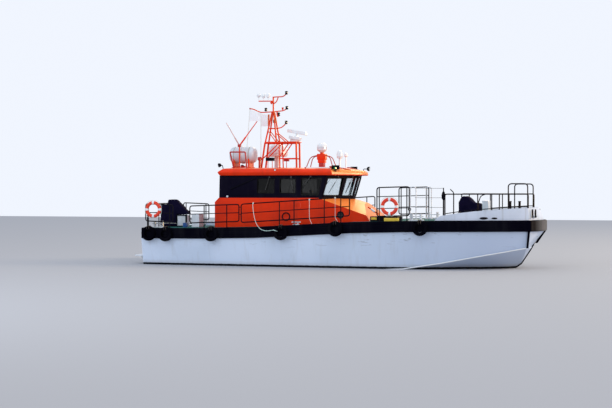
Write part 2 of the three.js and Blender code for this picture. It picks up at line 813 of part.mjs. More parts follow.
function mast() {
  const { y, deck, aft, mid, fore, x, neck, peak, tube } = MAST;
  const frameHead = 60;
  // A point at height z on a leg of the upper frame, which leans in from its foot on the platform
  const onLeg = (side, foot, head, z) => {
    const share = (z - deck) / (neck - deck);
    return [foot + (head - foot) * share, side * (y + (frameHead - y) * share), z];
  };
  const aftLeg = (side, z) => onLeg(side, aft + 10, x - 40, z);
  const foreLeg = (side, z) => onLeg(side, mid - 120, x + 40, z);
  const legs = SIDES.flatMap(([, side]) => [
    rod([aft - 160, side * (y + 60), 4150], [aft, side * y, deck], tube),
    rod([fore + 20, side * y, 4150], [fore, side * y, deck], tube),
    rod([mid + 40, side * y, 4150], [mid, side * y, deck], 22),
    rod([aft - 90, side * (y + 34), 4700], [mid - 20, side * y, deck - 30], 18),
    rod([mid + 10, side * y, 4750], [-2150, side * y, deck - 30], 18),
    rod([mid + 20, side * y, 4700], [fore + 10, side * y, 4700], 20),
    rod([aft, side * y, deck], [fore, side * y, deck], 40),
    rod(aftLeg(side, deck), aftLeg(side, neck), 26),
    rod(foreLeg(side, deck), foreLeg(side, neck), 26),
    rod(aftLeg(side, 5950), foreLeg(side, deck), 16),
    rod(foreLeg(side, 5850), [-2250, side * y, deck], 16),
  ]);
  const cross = [aft, mid, fore].map((px) => rod([px, -y, deck], [px, y, deck], 36));
  const plate = box(RADAR.x - 330, fore + 110, -260, 260, deck + 10, deck + 45);
  const pole = rod([x, 0, neck - 80], [x, 0, peak], 26);
  const arms = [
    [[x, 0, 7470], [-2480, 0, 7480], [-2340, 0, 7600]],
    [[x, 0, 6810], [-2480, 0, 6850], [-2320, 0, 6930]],
    [[-2830, 0, 6060], [-2560, 0, 6090], [-2350, 0, 6280]],
    [[x, 0, 7290], [-3640, 0, 7300]],
    [[x, 0, 6810], [-3560, 0, 6790], [-3920, 0, 6960], [-4080, 0, 6965]],
    [[-2950, 0, 7160], [-2800, 0, 7250], [-2720, 0, 7460]],
  ].map((route) => pipe(route, 17));
  const waistZ = 6060;
  const waist = [aftLeg, foreLeg].map((leg) => rod(leg(-1, waistZ), leg(1, waistZ), 20));
  const tie = rod([-3132, 0, waistZ], [-2810, 0, waistZ], 20);
  const heads = [
    [-2335, 7620],
    [-2315, 6950],
    [-2345, 6300],
  ].map(([hx, hz]) => rod([hx, 0, hz - 40], [hx, 0, hz + 75], 45));
  const cap = rod([x, 0, neck - 40], [x, 0, neck + 60], 70, 12);
  const halyards = HALYARDS.map(({ top: head, foot }) => rod(foot, head, HALYARD_RADIUS, 6));
  return seatedOnRoof(join(legs, cross, plate, pole, arms, waist, tie, heads, cap, halyards));
}
const mastBody = mast();
place("roof", "mast", mastBody, "orange");

// Radar: a gearbox on the platform, tilted down at the nose, and the scanner that turns on it
function tilted(body) {
  return solid(shapeOf(body).rotateY(degrees(RADAR.tilt)).translate(RADAR.x, 0, RADAR.z));
}
function radarGearbox() {
  const shell = join(box(-300, 210, -170, 170, 60, 190), rod([0, 0, 180], [0, 0, 250], 75, 16));
  const foot = box(-230, 150, -120, 120, -120, 80);
  const plateTop = box(-far, far, -far, far, -far, MAST.deck + 45 + SEAT);
  return cut(tilted(join(shell, foot)), plateTop);
}
place("roof", "radar_gearbox", radarGearbox(), "white");
function radarScanner() {
  const half = RADAR.length / 2;
  const bar = prismX(
    [
      [-75, 320],
      [75, 320],
      [62, 470],
      [-62, 470],
    ],
    -half,
    half,
  );
  const neck = rod([0, 0, 250 + 0.8], [0, 0, 350], 60, 16);
  return tilted(solid(shapeOf(join(bar, neck)).rotateZ(degrees(RADAR.turn))));
}
place("roof", "radar_scanner", radarScanner(), "white");

// Liferaft in its canister, on a cradle
function liferaft() {
  const { radius, half } = RAFT;
  const profile = [
    [0, -half],
    [radius * 0.62, -half],
    [radius * 0.94, -half + 90],
    [radius, -half + 190],
    [radius, -60],
    [radius + 22, -45],
    [radius + 22, 45],
    [radius, 60],
    [radius, half - 190],
    [radius * 0.94, half - 90],
    [radius * 0.62, half],
    [0, half],
  ];
  return spun(profile, 20, "x");
}
place("roof", "liferaft", liferaft(), "white", [RAFT.x, 0, RAFT.z]);

function raftCradle() {
  const round = RAFT.radius + SEAT;
  const girth = [
    [0, -RAFT.half],
    [round, -RAFT.half],
    [round, RAFT.half],
    [0, RAFT.half],
  ];
  const hollow = at(spun(girth, 20, "x"), [RAFT.x, 0, RAFT.z]);
  const bed = [-350, 350].map((dx) => {
    const block = box(RAFT.x + dx - 30, RAFT.x + dx + 30, -330, 330, 4200, RAFT.z - 150);
    return cut(block, hollow);
  });
  const rails = [-300, 300].map((y) => box(RAFT.x - 450, RAFT.x + 450, y - 25, y + 25, 4240, 4330));
  return seatedOnRoof(join(bed, rails));
}
place("roof", "raft_cradle", raftCradle(), "orange");

// Leaning frame at the roof's starboard side
function roofFrame() {
  const y = -1180;
  const headY = y + 60;
  const corners = [
    [-3780, y, 4200],
    [-3895, headY, 4980],
    [-4610, headY, 4985],
    [-4400, y, 4200],
  ];
  const bar = rod([-4440, y + 11, 4350], [-3800, y + 11, 4350], 18);
  return seatedOnRoof(join(pipe(rounded(corners, 60, 2), 24), bar));
}
place("roof", "roof_frame", roofFrame(), "red");

// Two raked aerials on a post
function aerialFork() {
  const [x, y, z] = [-4405, -440, 5290];
  const post = rod([x, y, 4200], [x, y, z + 40], 30);
  const left = rod([x, y, z], [-5040, y, 6330], 22);
  const right = rod([x, y, z], [-3560, y, 6380], 24);
  const knob = box(x - 70, x + 70, y - 60, y + 60, z - 60, z + 60);
  return seatedOnRoof(join(post, left, right, knob));
}
place("roof", "aerial_fork", aerialFork(), "orange");

// Searchlight on a hooped pedestal
function lampPedestal() {
  const { x, z } = LAMP;
  const neck = rod([x, 0, z + 250], [x, 0, z + 330], 90, 16);
  const block = join(box(x - 190, x + 190, -170, 170, z, z + 260), neck);
  const hoop = (side, [headX, elbowX, footX]) => {
    const route = [
      [x + headX, side * 120, z + 200],
      [x + elbowX, side * 200, z + 120],
      [x + footX, side * 330, 4150],
    ];
    return pipe(rounded(route, 200, 3), 20);
  };
  const hoops = SIDES.flatMap(([, side]) => [hoop(side, [-150, -480, -650]), hoop(side, [150, 420, 600])]);
  const stand = box(x - 220, x + 220, -150, 150, 4200, z + 40);
  return seatedOnRoof(join(block, hoops, stand));
}
place("roof", "searchlight_pedestal", lampPedestal(), "red");

function searchlight() {
  const profile = [
    [0, 0],
    [110, 0],
    [150, 40],
    [215, 90],
    [225, 260],
    [160, 380],
    [0, 420],
  ];
  return spun(profile, 20, "z");
}
place("roof", "searchlight", searchlight(), "white", [LAMP.x, 0, LAMP.z + 330 + 0.8]);

// Aerial domes
function dome(radius, height, stem, foot) {
  const profile = [
    [0, -foot],
    [stem, -foot],
    [stem, 0],
    [radius * 0.8, 0],
    [radius, height * 0.25],
    [radius, height * 0.55],
    [radius * 0.7, height * 0.88],
    [0, height],
  ];
  return spun(profile, 16, "z");
}
const DOMES = {
  // name: radius, height, stem radius, stem length, place
  satellite_dome: [500, 570, 140, 620, [-3060, 950, 4830]],
  aerial_dome: [140, 350, 45, 560, [260, -480, 4690]],
};
for (const [name, [radius, height, stem, foot, spot]] of Object.entries(DOMES))
  place("roof", name, seatedOnRoof(at(dome(radius, height, stem, foot), spot)), "white");

// Rails

// A framed rail in one fore-and-aft plane: a rounded loop, bars across it and posts to the deck
function railFrame(side, y, from, to, low, drops, posts) {
  const at3 = ([x, z]) => [x, side * y, z];
  const [x0, z0] = from;
  const [x1, z1] = to;
  const fall = (x) => z0 + ((z1 - z0) * (x - x0)) / (x1 - x0);
  const corners = [
    [x0 + 300, fall(x0 + 300) - low],
    [x0, z0 - low],
    [x0, z0],
    [x1, z1],
    [x1, z1 - low],
    [x0 + 290, fall(x0 + 290) - low],
  ].map(at3);
  const loop = pipe(rounded(corners.slice(0, 5), RAIL.bend, 2), RAIL.radius);
  const foot = rod(corners[4], corners[5], RAIL.radius);
  const ball = [
    [0, -RAIL.radius],
    [RAIL.radius, 0],
    [0, RAIL.radius],
  ];
  const elbow = at(spun(ball, 8, "z"), corners[4]);
  const bars = drops.map((drop) => rod(at3([x0, z0 - drop]), at3([x1, z1 - drop]), RAIL.bar));
  const stands = posts.map((x) => rod(at3([x, deckZ(x) - 60]), at3([x, fall(x)]), RAIL.post));
  return seated(join(loop, foot, elbow, bars, stands));
}

const RAIL_RUNS = {
  // name: y, [aft x, z], [fore x, z], loop depth, drops of the bars, posts
  rail_aft: [2310, [-6040, 2600], [-3760, 2680], 740, [360], [-5370, -4320]],
  rail_mid: [2350, [-3640, 2690], [1180, 3010], 790, [395], [-1910, -1255, 80, 800]],
  rail_fore: [2230, [2330, 3400], [3700, 3440], 1200, [380, 880], [2430, 3600]],
  rail_stern: [2180, [-8200, 2690], [-6900, 2640], 760, [380], [-8070, -7050]],
};
function sideRail(side) {
  const frames = ["rail_aft", "rail_mid"].map((name) => railFrame(side, ...RAIL_RUNS[name]));
  const clamps = [2250, 2560].map((z) => rod([-3780, side * 2330, z], [-3620, side * 2330, z], 14));
  return join(frames, clamps);
}
for (const [word, side] of SIDES) {
  place("rails", "side_rail_" + word, sideRail(side), "black");
  place("rails", "fore_rail_" + word, railFrame(side, ...RAIL_RUNS.rail_fore), "black");
  place("rails", "stern_rail_" + word, railFrame(side, ...RAIL_RUNS.rail_stern), "black");
}

function transomRail() {
  const x = -8240;
  const top = 2680;
  const half = 1900;
  const route = [
    [x, -half, 1560],
    [x, -half, top],
    [x, half, top],
    [x, half, 1560],
  ];
  const bar = rod([x, -half, 2280], [x, half, 2280], RAIL.bar);
  const posts = [-650, 650].map((y) => rod([x, y, 1560], [x, y, top], RAIL.post));
  return seated(join(pipe(rounded(route, 140, 3), RAIL.radius), bar, posts));
}
place("rails", "rail_transom", transomRail(), "black");

// Bow rail on the bulwark's top, with a tall hoop to hold on to
const BOW_RAIL = {
  top: 3130,
  base: 60, // height of the lower bar over the bulwark
  posts: [5540, 6500, 7050, 7350],
  hoop: { top: 3560, foot: 1980, y: 1190, x: [7650, 8440] },
};

function bowRail(side) {
  const { top, base, posts: postX, hoop } = BOW_RAIL;
  const centre = PLATE.edge + PLATE.wall / 2;
  const line = bulwarkLine.slice(2, 8).map((p) => ({ x: p.topX, y: side * (p.y - centre), z: p.topZ }));
  const lineAt = (x) => {
    const i = line.findIndex((p) => p.x >= x);
    const [a, b] = [line[i - 1], line[i]];
    const share = (x - a.x) / (b.x - a.x);
    return { x, y: a.y + (b.y - a.y) * share, z: a.z + (b.z - a.z) * share };
  };
  const foot = (p) => [p.x, p.y, p.z - 10];
  const above = (p) => [p.x, p.y, top];
  const [first, last] = [line[0], line.at(-1)];
  const rail = pipe(rounded([foot(first), ...line.map(above), foot(last)], 80, 2), RAIL.radius);
  const lower = pipe(line.map((p) => [p.x, p.y, p.z + base]), RAIL.bar);
  const posts = postX.map(lineAt).map((p) => rod(foot(p), above(p), RAIL.post));
  const [aft, fore] = hoop.x;
  const hoopRoute = [
    [aft, side * hoop.y, hoop.foot],
    [aft, side * hoop.y, hoop.top],
    [fore, side * hoop.y, hoop.top],
    [fore, side * hoop.y, hoop.foot],
  ];
  const links = hoop.x.map((x) => rod([x, side * hoop.y, top], [x, lineAt(x).y, top], RAIL.bar));
  const body = join(rail, lower, posts, pipe(rounded(hoopRoute, 150, 3), RAIL.radius), links);
  return cut(seated(body), bulwarkBody, moved(bulwarkBody, 0, 0, SEAT));
}
for (const [word, side] of SIDES) place("rails", "bow_rail_" + word, bowRail(side), "black");

// Deck gear

function lifebuoy() {
  const points = 8;
  const profile = Array.from({ length: points + 1 }, (_, i) => {
    const angle = (2 * Math.PI * i) / points;
    return [300 + 75 * Math.cos(angle), 55 * Math.sin(angle)];
  });
  return spun(profile, 16, "y");
}
const BUOYS = {
  lifebuoy_aft: [-7800, -2180 - RAIL.radius - 55 - SEAT, 2440],
  lifebuoy_fore: [2880, -2230 - RAIL.bar - 55 - SEAT, 2610],
};
for (const [name, spot] of Object.entries(BUOYS)) place("deck", name, lifebuoy(), "red", spot);

// Covered stern gear with a sloping fore side
function sternGear() {
  const outline = [
    [-8050, 1500],
    [-6620, 1500],
    [-6620, 2200],
    [-7270, 2890],
    [-7640, 2890],
    [-7700, 2680],
    [-8050, 2660],
  ];
  return seated(prismY(outline, -1000, -620));
}
place("deck", "stern_gear_cover", sternGear(), "cover");
place("deck", "stern_locker", seated(box(-6290, -5930, -1500, -970, 1500, 2242)), "white");

function bitts(x, y, gap, height, radius) {
  const z = deckZ(x);
  const half = gap / 2;
  const base = box(x - half - 120, x + half + 120, y - 100, y + 100, z - 60, z + CAMBER + 22);
  const posts = [x - half, x + half].map((px) => rod([px, y, z - 40], [px, y, z + height], radius, 12));
  const barZ = z + height * 0.62;
  const bar = rod([x - half - 110, y, barZ], [x + half + 110, y, barZ], radius * 0.4);
  return seated(join(base, posts, bar));
}
for (const [word, side] of SIDES) {
  place("deck", "stern_bitts_" + word, bitts(-7700, side * 1890, 380, 300, 50), "steel");
  place("deck", "side_bitts_" + word, bitts(3950, side * 1980, 380, 290, 50), "white");
}

function bowBitts() {
  const y = -600;
  const [aft, fore] = [7665, 8050];
  const z = deckZ(aft);
  const plate = box(aft - 50, fore + 120, y - 110, y + 110, z - 60, z + 60);
  const posts = [aft, fore].map((x) => rod([x, y, z - 40], [x, y, 2840], 50, 12));
  const bar = rod([aft - 50, y, 2600], [fore + 100, y, 2600], 25);
  return seated(join(plate, posts, bar));
}
place("deck", "bow_bitts", bowBitts(), "black");

// Covered winch on the foredeck, highest at its after end
function coveredWinch() {
  const outline = [
    [5420, 1990],
    [6430, 1990],
    [6400, 2760],
    [6010, 2790],
    [5790, 3040],
    [5620, 3050],
    [5440, 2900],
  ];
  return seated(prismY(outline, -380, 380));
}
place("deck", "winch_cover", coveredWinch(), "cover");
place("deck", "foredeck_box", seated(box(6450, 6720, -300, 300, 1980, 2850)), "white");
place("deck", "deck_chest", seated(box(1980, 3280, -2000, -1550, 1900, 2190)), "black");

// Hatch lids, each hinged on its fore edge: the mesh's own origin is on the hinge line
for (const [name, [x, y, halfX, halfY]] of Object.entries(HATCHES)) {
  const z = deckZ(x) + CAMBER + COAMING.height + SEAT;
  const lid = box(-2 * halfX - 30, 0, -halfY - 15, halfY + 15, 0, 45);
  const grip = box(-2 * halfX + 40, -2 * halfX + 110, -60, 60, 40, 75);
  place("deck", name, join(lid, grip), "deckWhite", [x + halfX + 15, y, z]);
}

// Flags, each with its hoist along a halyard
function flag({ top, foot, face }, low, high, flyHigh, fly) {
  const lean = (z) => top[1] + ((foot[1] - top[1]) * (top[2] - z)) / (top[2] - foot[2]);
  const near = top[0] + face + SEAT;
  const ringAtX = (x, head) => [
    [x, lean(low) - 6, low],
    [x, lean(head) - 6, head],
    [x, lean(head) + 6, head],
    [x, lean(low) + 6, low],
  ];
  return loft([ringAtX(near, high), ringAtX(near + fly, flyHigh)]);
}
place("roof", "flag_aft", flag(HALYARDS[0], 6400, 6930, 6740, 500), "cloth");
place("roof", "flag_fore", flag(HALYARDS[1], 6170, 6710, 6700, 400), "cloth");

// Loose rope from the side rail's top bar, outside the band, to the crown of the fourth tyre
const ROPE = { radius: 11, sides: 8 };
const ROPE_ROUTE = [
  [-3090, -2352, 2729],
  [-3090, -2395, 2728],
  [-3089, -2418, 2713],
  [-3087, -2427, 2680],
  [-3083, -2431, 2620],
  [-3074, -2436, 2520],
  [-3056, -2448, 2390],
  [-3022, -2472, 2240],
  [-2976, -2512, 2090],
  [-2912, -2560, 1940],
  [-2826, -2598, 1790],
  [-2730, -2622, 1682],
  [-2620, -2636, 1610],
  [-2500, -2643, 1572],
  [-2380, -2646, 1562],
  [-2270, -2648, 1568],
  [-2180, -2648, 1582],
  [-2090, -2648, 1590],
  [-2000, -2648, 1588],
];
function hangingRope() {
  const tread = moved(sideFender(-1), -SEAT, 0, SEAT / 2);
  return cut(pipe(ROPE_ROUTE, ROPE.radius, ROPE.sides), moved(sideRail(-1), 0, -SEAT, 0), tread);
}
place("deck", "hanging_rope", hangingRope(), "rope");

export default boat;
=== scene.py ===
# Pilot boat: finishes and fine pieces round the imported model
import json
import math
import random
import bpy
from mathutils import Matrix, Vector, noise

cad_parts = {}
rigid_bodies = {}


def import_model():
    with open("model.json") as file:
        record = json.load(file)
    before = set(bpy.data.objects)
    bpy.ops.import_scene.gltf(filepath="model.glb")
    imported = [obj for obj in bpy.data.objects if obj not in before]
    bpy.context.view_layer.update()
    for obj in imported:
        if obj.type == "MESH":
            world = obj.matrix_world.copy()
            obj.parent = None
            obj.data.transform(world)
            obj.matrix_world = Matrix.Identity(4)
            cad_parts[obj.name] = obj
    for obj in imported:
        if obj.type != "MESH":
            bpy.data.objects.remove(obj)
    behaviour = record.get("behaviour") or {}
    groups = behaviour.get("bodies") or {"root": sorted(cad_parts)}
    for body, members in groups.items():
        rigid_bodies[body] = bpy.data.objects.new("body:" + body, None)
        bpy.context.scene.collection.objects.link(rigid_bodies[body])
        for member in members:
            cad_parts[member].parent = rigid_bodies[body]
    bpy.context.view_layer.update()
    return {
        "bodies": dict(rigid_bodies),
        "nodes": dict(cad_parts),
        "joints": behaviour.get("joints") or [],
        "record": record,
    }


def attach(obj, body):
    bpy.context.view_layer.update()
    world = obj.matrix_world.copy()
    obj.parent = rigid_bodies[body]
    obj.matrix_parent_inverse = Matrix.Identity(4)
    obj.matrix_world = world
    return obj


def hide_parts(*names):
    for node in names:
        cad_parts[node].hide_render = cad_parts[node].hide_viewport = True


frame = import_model()
nodes = frame["nodes"]
random.seed(7)
print("frame loaded:", len(nodes), "nodes")


# Camera, as the boat was seen from the far quay
cameraView = {"spot": (13.132, -49.13, 3.3), "down": 0.697, "turn": 16.5, "lens": 67.65}


def makeCamera():
    tilt = (math.radians(90 - cameraView["down"]), 0, math.radians(cameraView["turn"]))
    bpy.ops.object.camera_add(location=cameraView["spot"], rotation=tilt)
    camera = bpy.context.object
    camera.data.lens = cameraView["lens"]
    camera.data.clip_start = 0.5
    camera.data.clip_end = 400
    bpy.context.scene.camera = camera


makeCamera()


# Small makers that every piece uses
def clearSelection():
    if bpy.context.object and bpy.context.object.mode != "OBJECT":
        bpy.ops.object.mode_set(mode="OBJECT")
    bpy.ops.object.select_all(action="DESELECT")


def pick(*objects):
    clearSelection()
    for obj in objects:
        obj.select_set(True)
    bpy.context.view_layer.objects.active = objects[0]


def applyModifier(obj, kind, **settings):
    pick(obj)
    modifier = obj.modifiers.new(kind.title(), kind)
    for key, value in settings.items():
        setattr(modifier, key, value)
    bpy.ops.object.modifier_apply(modifier=modifier.name)


def settle(obj):
    pick(obj)
    bpy.ops.object.transform_apply(location=True, rotation=True, scale=True)
    return obj


def joinAll(objects):
    pick(*objects)
    if len(objects) > 1:
        bpy.ops.object.join()
    return bpy.context.object


def copyOf(obj, matrix=Matrix.Identity(4)):
    twin = obj.copy()
    twin.data = obj.data.copy()
    bpy.context.scene.collection.objects.link(twin)
    twin.data.transform(matrix)
    return twin


def outward(obj):
    pick(obj)
    bpy.ops.object.mode_set(mode="EDIT")
    bpy.ops.mesh.select_all(action="SELECT")
    bpy.ops.mesh.remove_doubles(threshold=0.00005)
    bpy.ops.mesh.normals_make_consistent(inside=False)
    bpy.ops.object.mode_set(mode="OBJECT")
    return obj


def mirroredY(obj):
    return outward(copyOf(obj, Matrix.Diagonal((1, -1, 1, 1))))


def rounded(points, bend, steps=5, closed=False):
    path = [Vector(p) for p in points]
    count = len(path)
    route = []
    for i, corner in enumerate(path):
        if not closed and i in (0, count - 1):
            route.append(corner)
            continue
        before, after = path[i - 1] - corner, path[(i + 1) % count] - corner
        reach = min(bend, before.length / 2.1, after.length / 2.1)
        start, end = corner + before.normalized() * reach, corner + after.normalized() * reach
        for k in range(steps + 1):
            t = k / steps
            route.append(start.lerp(corner, t).lerp(corner.lerp(end, t), t))
    return route


# A round tube through points
def pipe(points, radius, sides=10, closed=False, bend=0.0, steps=5):
    route = rounded(points, bend, steps, closed) if bend else [Vector(p) for p in points]
    clearSelection()
    bpy.ops.curve.primitive_nurbs_path_add()
    obj = bpy.context.object
    curve = obj.data
    curve.splines.clear()
    spline = curve.splines.new("POLY")
    spline.points.add(len(route) - 1)
    for point, spot in zip(spline.points, route):
        point.co = (*spot, 1)
    spline.use_cyclic_u = closed
    curve.dimensions = "3D"
    curve.twist_mode = "MINIMUM"
    curve.bevel_depth = radius
    curve.bevel_resolution = max(0, sides // 2 - 2)
    curve.use_fill_caps = not closed
    bpy.ops.object.convert(target="MESH")
    return outward(bpy.context.object)


# A box with softened edges
def block(low, high, bevel=0.006, segments=2):
    low, high = Vector(low), Vector(high)
    clearSelection()
    bpy.ops.mesh.primitive_cube_add(size=1, location=(low + high) / 2)
    obj = bpy.context.object
    obj.scale = high - low
    settle(obj)
    if bevel:
        applyModifier(obj, "BEVEL", width=bevel, segments=segments)
    return obj


# A shape turned about an axis through the given centre; profile rows are radius, height
def turned(profile, centre=(0, 0, 0), axis=(0, 0, 1), steps=32):
    clearSelection()
    bpy.ops.mesh.primitive_plane_add(size=0.001)
    obj = bpy.context.object
    bpy.ops.object.mode_set(mode="EDIT")
    bpy.ops.mesh.merge(type="CENTER")
    radius, height = profile[0]
    bpy.ops.transform.translate(value=(radius, 0, height))
    for (r0, h0), (r1, h1) in zip(profile, profile[1:]):
        step = (r1 - r0, 0, h1 - h0)
        bpy.ops.mesh.extrude_region_move(TRANSFORM_OT_translate={"value": step})
    bpy.ops.mesh.select_all(action="SELECT")
    bpy.ops.mesh.spin(steps=steps, angle=2 * math.pi, center=(0, 0, 0), axis=(0, 0, 1))
    bpy.ops.object.mode_set(mode="OBJECT")
    lean = Vector((0, 0, 1)).rotation_difference(Vector(axis)).to_matrix().to_4x4()
    obj.matrix_world = Matrix.Translation(centre) @ lean
    return outward(settle(obj))


# A flat plate from outlines, the later ones its holes, set on a plane by its corner, along and up directions
def plate(outlines, thick, corner, along, up, bevel=0.0):
    clearSelection()
    bpy.ops.curve.primitive_bezier_circle_add()
    obj = bpy.context.object
    curve = obj.data
    curve.splines.clear()
    for outline in outlines:
        spline = curve.splines.new("POLY")
        spline.points.add(len(outline) - 1)
        for point, spot in zip(spline.points, outline):
            point.co = (spot[0], spot[1], 0, 1)
        spline.use_cyclic_u = True
    curve.dimensions = "2D"
    curve.fill_mode = "BOTH"
    curve.extrude = thick / 2 - bevel
    curve.bevel_depth = bevel
    curve.bevel_resolution = 1
    curve.offset = -bevel
    bpy.ops.object.convert(target="MESH")
    along, up = Vector(along).normalized(), Vector(up).normalized()
    out = along.cross(up)
    turn = Matrix((along, up, out)).transposed().to_4x4()
    obj = bpy.context.object
    obj.matrix_world = Matrix.Translation(Vector(corner) + out * thick / 2) @ turn
    return outward(settle(obj))


def around(count, points=None):
    return [2 * math.pi * k / count for k in range(points or count)]


def roundedOutline(points, bend, steps=4):
    return [(p.x, p.y) for p in rounded([(x, y, 0) for x, y in points], bend, steps, closed=True)]


# Loose rope: from the side rail's top bar, outside the fender band, to the fourth tyre
ropeFacts = {"diameter": 0.022, "strands": 3, "pitch": 0.09}
ropeRoute = [
    (-3.09, -2.352, 2.729), (-3.09, -2.395, 2.728), (-3.089, -2.418, 2.713), (-3.087, -2.427, 2.68),
    (-3.083, -2.431, 2.62), (-3.074, -2.436, 2.52), (-3.056, -2.448, 2.39), (-3.022, -2.472, 2.24),
    (-2.976, -2.512, 2.09), (-2.912, -2.56, 1.94), (-2.826, -2.598, 1.79), (-2.73, -2.622, 1.682),
    (-2.62, -2.636, 1.61), (-2.5, -2.643, 1.572), (-2.38, -2.646, 1.562), (-2.27, -2.648, 1.568),
    (-2.18, -2.648, 1.582), (-2.09, -2.648, 1.59), (-2.0, -2.648, 1.588),
]


def smoothRoute(points, steps=6):
    path = [Vector(p) for p in points]
    path = [2 * path[0] - path[1], *path, 2 * path[-1] - path[-2]]
    route = []
    for a, b, c, d in zip(path, path[1:], path[2:], path[3:]):
        for k in range(steps):
            t = k / steps
            bend = (2 * a - 5 * b + 4 * c - d) * t * t + (3 * b - a - 3 * c + d) * t ** 3
            route.append(0.5 * (2 * b + (c - a) * t + bend))
    return [*route, path[-2]]


def lengthOf(route):
    return sum((b - a).length for a, b in zip(route, route[1:]))


# One strand that winds round the route
def strand(route, offset, pitch, phase):
    side = (route[1] - route[0]).orthogonal().normalized()
    walked = 0.0
    points = []
    for i, here in enumerate(route):
        ahead = (route[min(i + 1, len(route) - 1)] - route[max(i - 1, 0)]).normalized()
        side = (side - ahead * side.dot(ahead)).normalized()
        walked += (here - route[i - 1]).length if i else 0.0
        angle = phase + 2 * math.pi * walked / pitch
        points.append(here + offset * (math.cos(angle) * side + math.sin(angle) * ahead.cross(side)))
    return points


def laidRope(route, diameter, strands, pitch):
    thick = diameter / 2 / (1 + 1 / math.sin(math.pi / strands)) * 1.16
    return joinAll([pipe(strand(route, diameter / 2 - thick, pitch, phase), thick, 6)
                    for phase in around(strands)])


ropeLine = smoothRoute(ropeRoute, 12)
hangingRope = laidRope(ropeLine, **ropeFacts)
print("rope laid:", round(lengthOf(ropeLine), 3), "m")


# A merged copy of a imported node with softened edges
def softened(nodeName, width=0.006, segments=2, angle=28, moves=(), merged=True):
    obj = copyOf(nodes[nodeName])
    obj.parent = None
    obj.matrix_world = Matrix.Identity(4)
    for key in [k for k in obj.keys() if k.startswith("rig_")]:
        del obj[key]
    pick(obj)
    bpy.ops.object.mode_set(mode="EDIT")
    bpy.ops.mesh.select_all(action="SELECT")
    bpy.ops.mesh.remove_doubles(threshold=0.0002)
    if merged:
        bpy.ops.mesh.dissolve_limited(angle_limit=math.radians(1.5))
    bpy.ops.object.mode_set(mode="OBJECT")
    for start, end in moves:
        for vertex in obj.data.vertices:
            if (vertex.co - Vector(start)).length < 0.03:
                vertex.co += Vector(end) - Vector(start)
    if width:
        limits = {"limit_method": "ANGLE", "angle_limit": math.radians(angle)}
        applyModifier(obj, "BEVEL", width=width, segments=segments, miter_outer="MITER_ARC", **limits)
    return obj


# The slot that goes with each finish, where a piece names no other
slotRows = {
    "hull_white": ("hullPaint",),
    "deck_white": ("deckWhite",),
    "black_paint": ("blackPaint", "softRubber", "webbing", "cabinGrey"),
    "orange_paint": ("orangePaint",),
    "red_paint": ("redPaint",),
    "white_paint": ("whitePaint",),
    "white_plastic": ("whitePlastic", "raftPlastic", "rosePlastic", "greenLens", "redLens"),
    "rubber": ("bandRubber", "tyreRubber", "ribRubber"),
    "rope": ("ropeWhite", "ropeTeal", "ropeDark"),
    "navy_paint": ("navyPanel",),
    "canvas": ("canvas",),
    "flag_cloth": ("flagCloth",),
    "steel": ("steel", "zinc"),
    "bronze": ("bronze",),
}
slotNames = {look: slotName for slotName, looks in slotRows.items() for look in looks}


# Joins and names a finished piece, gives it its finish and lets it ride on a body
def setDown(parts, name, finish, slotName=None, body="boat", smooth=32, stands=()):
    obj = joinAll(parts) if isinstance(parts, list) else parts
    looks = finish if isinstance(finish, list) else [finish]
    slotName = slotName or slotNames[looks[0]]
    obj.name = name
    obj.data.name = name
    obj.data.materials.clear()
    for look in looks:
        obj.data.materials.append(finishes[look])
    pick(obj)
    if smooth:
        bpy.ops.object.shade_smooth_by_angle(angle=math.radians(smooth))
    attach(obj, body)
    if stands:
        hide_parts(*stands)
    return obj


# Node helpers for the finishes
def addNode(tree, kind, inputs=None, **settings):
    made = tree.nodes.new(kind)
    for key, value in settings.items():
        setattr(made, key, value)
    for key, value in (inputs or {}).items():
        if isinstance(value, bpy.types.NodeSocket):
            tree.links.new(value, made.inputs[key])
        else:
            made.inputs[key].default_value = value
    return made


def rangeOf(tree, value, low, high, toLow=0.0, toHigh=1.0):
    inputs = {"Value": value, "From Min": low, "From Max": high, "To Min": toLow, "To Max": toHigh}
    return addNode(tree, "ShaderNodeMapRange", inputs).outputs["Result"]


def mathOf(tree, operation, first, second):
    return addNode(tree, "ShaderNodeMath", {0: first, 1: second}, operation=operation).outputs[0]


def mixed(tree, share, first, second):
    made = addNode(tree, "ShaderNodeMix", data_type="RGBA")
    for socket, value in ((made.inputs[0], share), (made.inputs[6], first), (made.inputs[7], second)):
        if isinstance(value, bpy.types.NodeSocket):
            tree.links.new(value, socket)
        else:
            socket.default_value = value if isinstance(value, float) else (*value, 1)
    return made.outputs[2]


def groupSockets(group, outputs, inputs):
    for name in inputs:
        group.interface.new_socket(name, in_out="INPUT", socket_type="NodeSocketFloat")
    for name in outputs:
        group.interface.new_socket(name, in_out="OUTPUT", socket_type="NodeSocketFloat")
    return addNode(group, "NodeGroupInput"), addNode(group, "NodeGroupOutput")


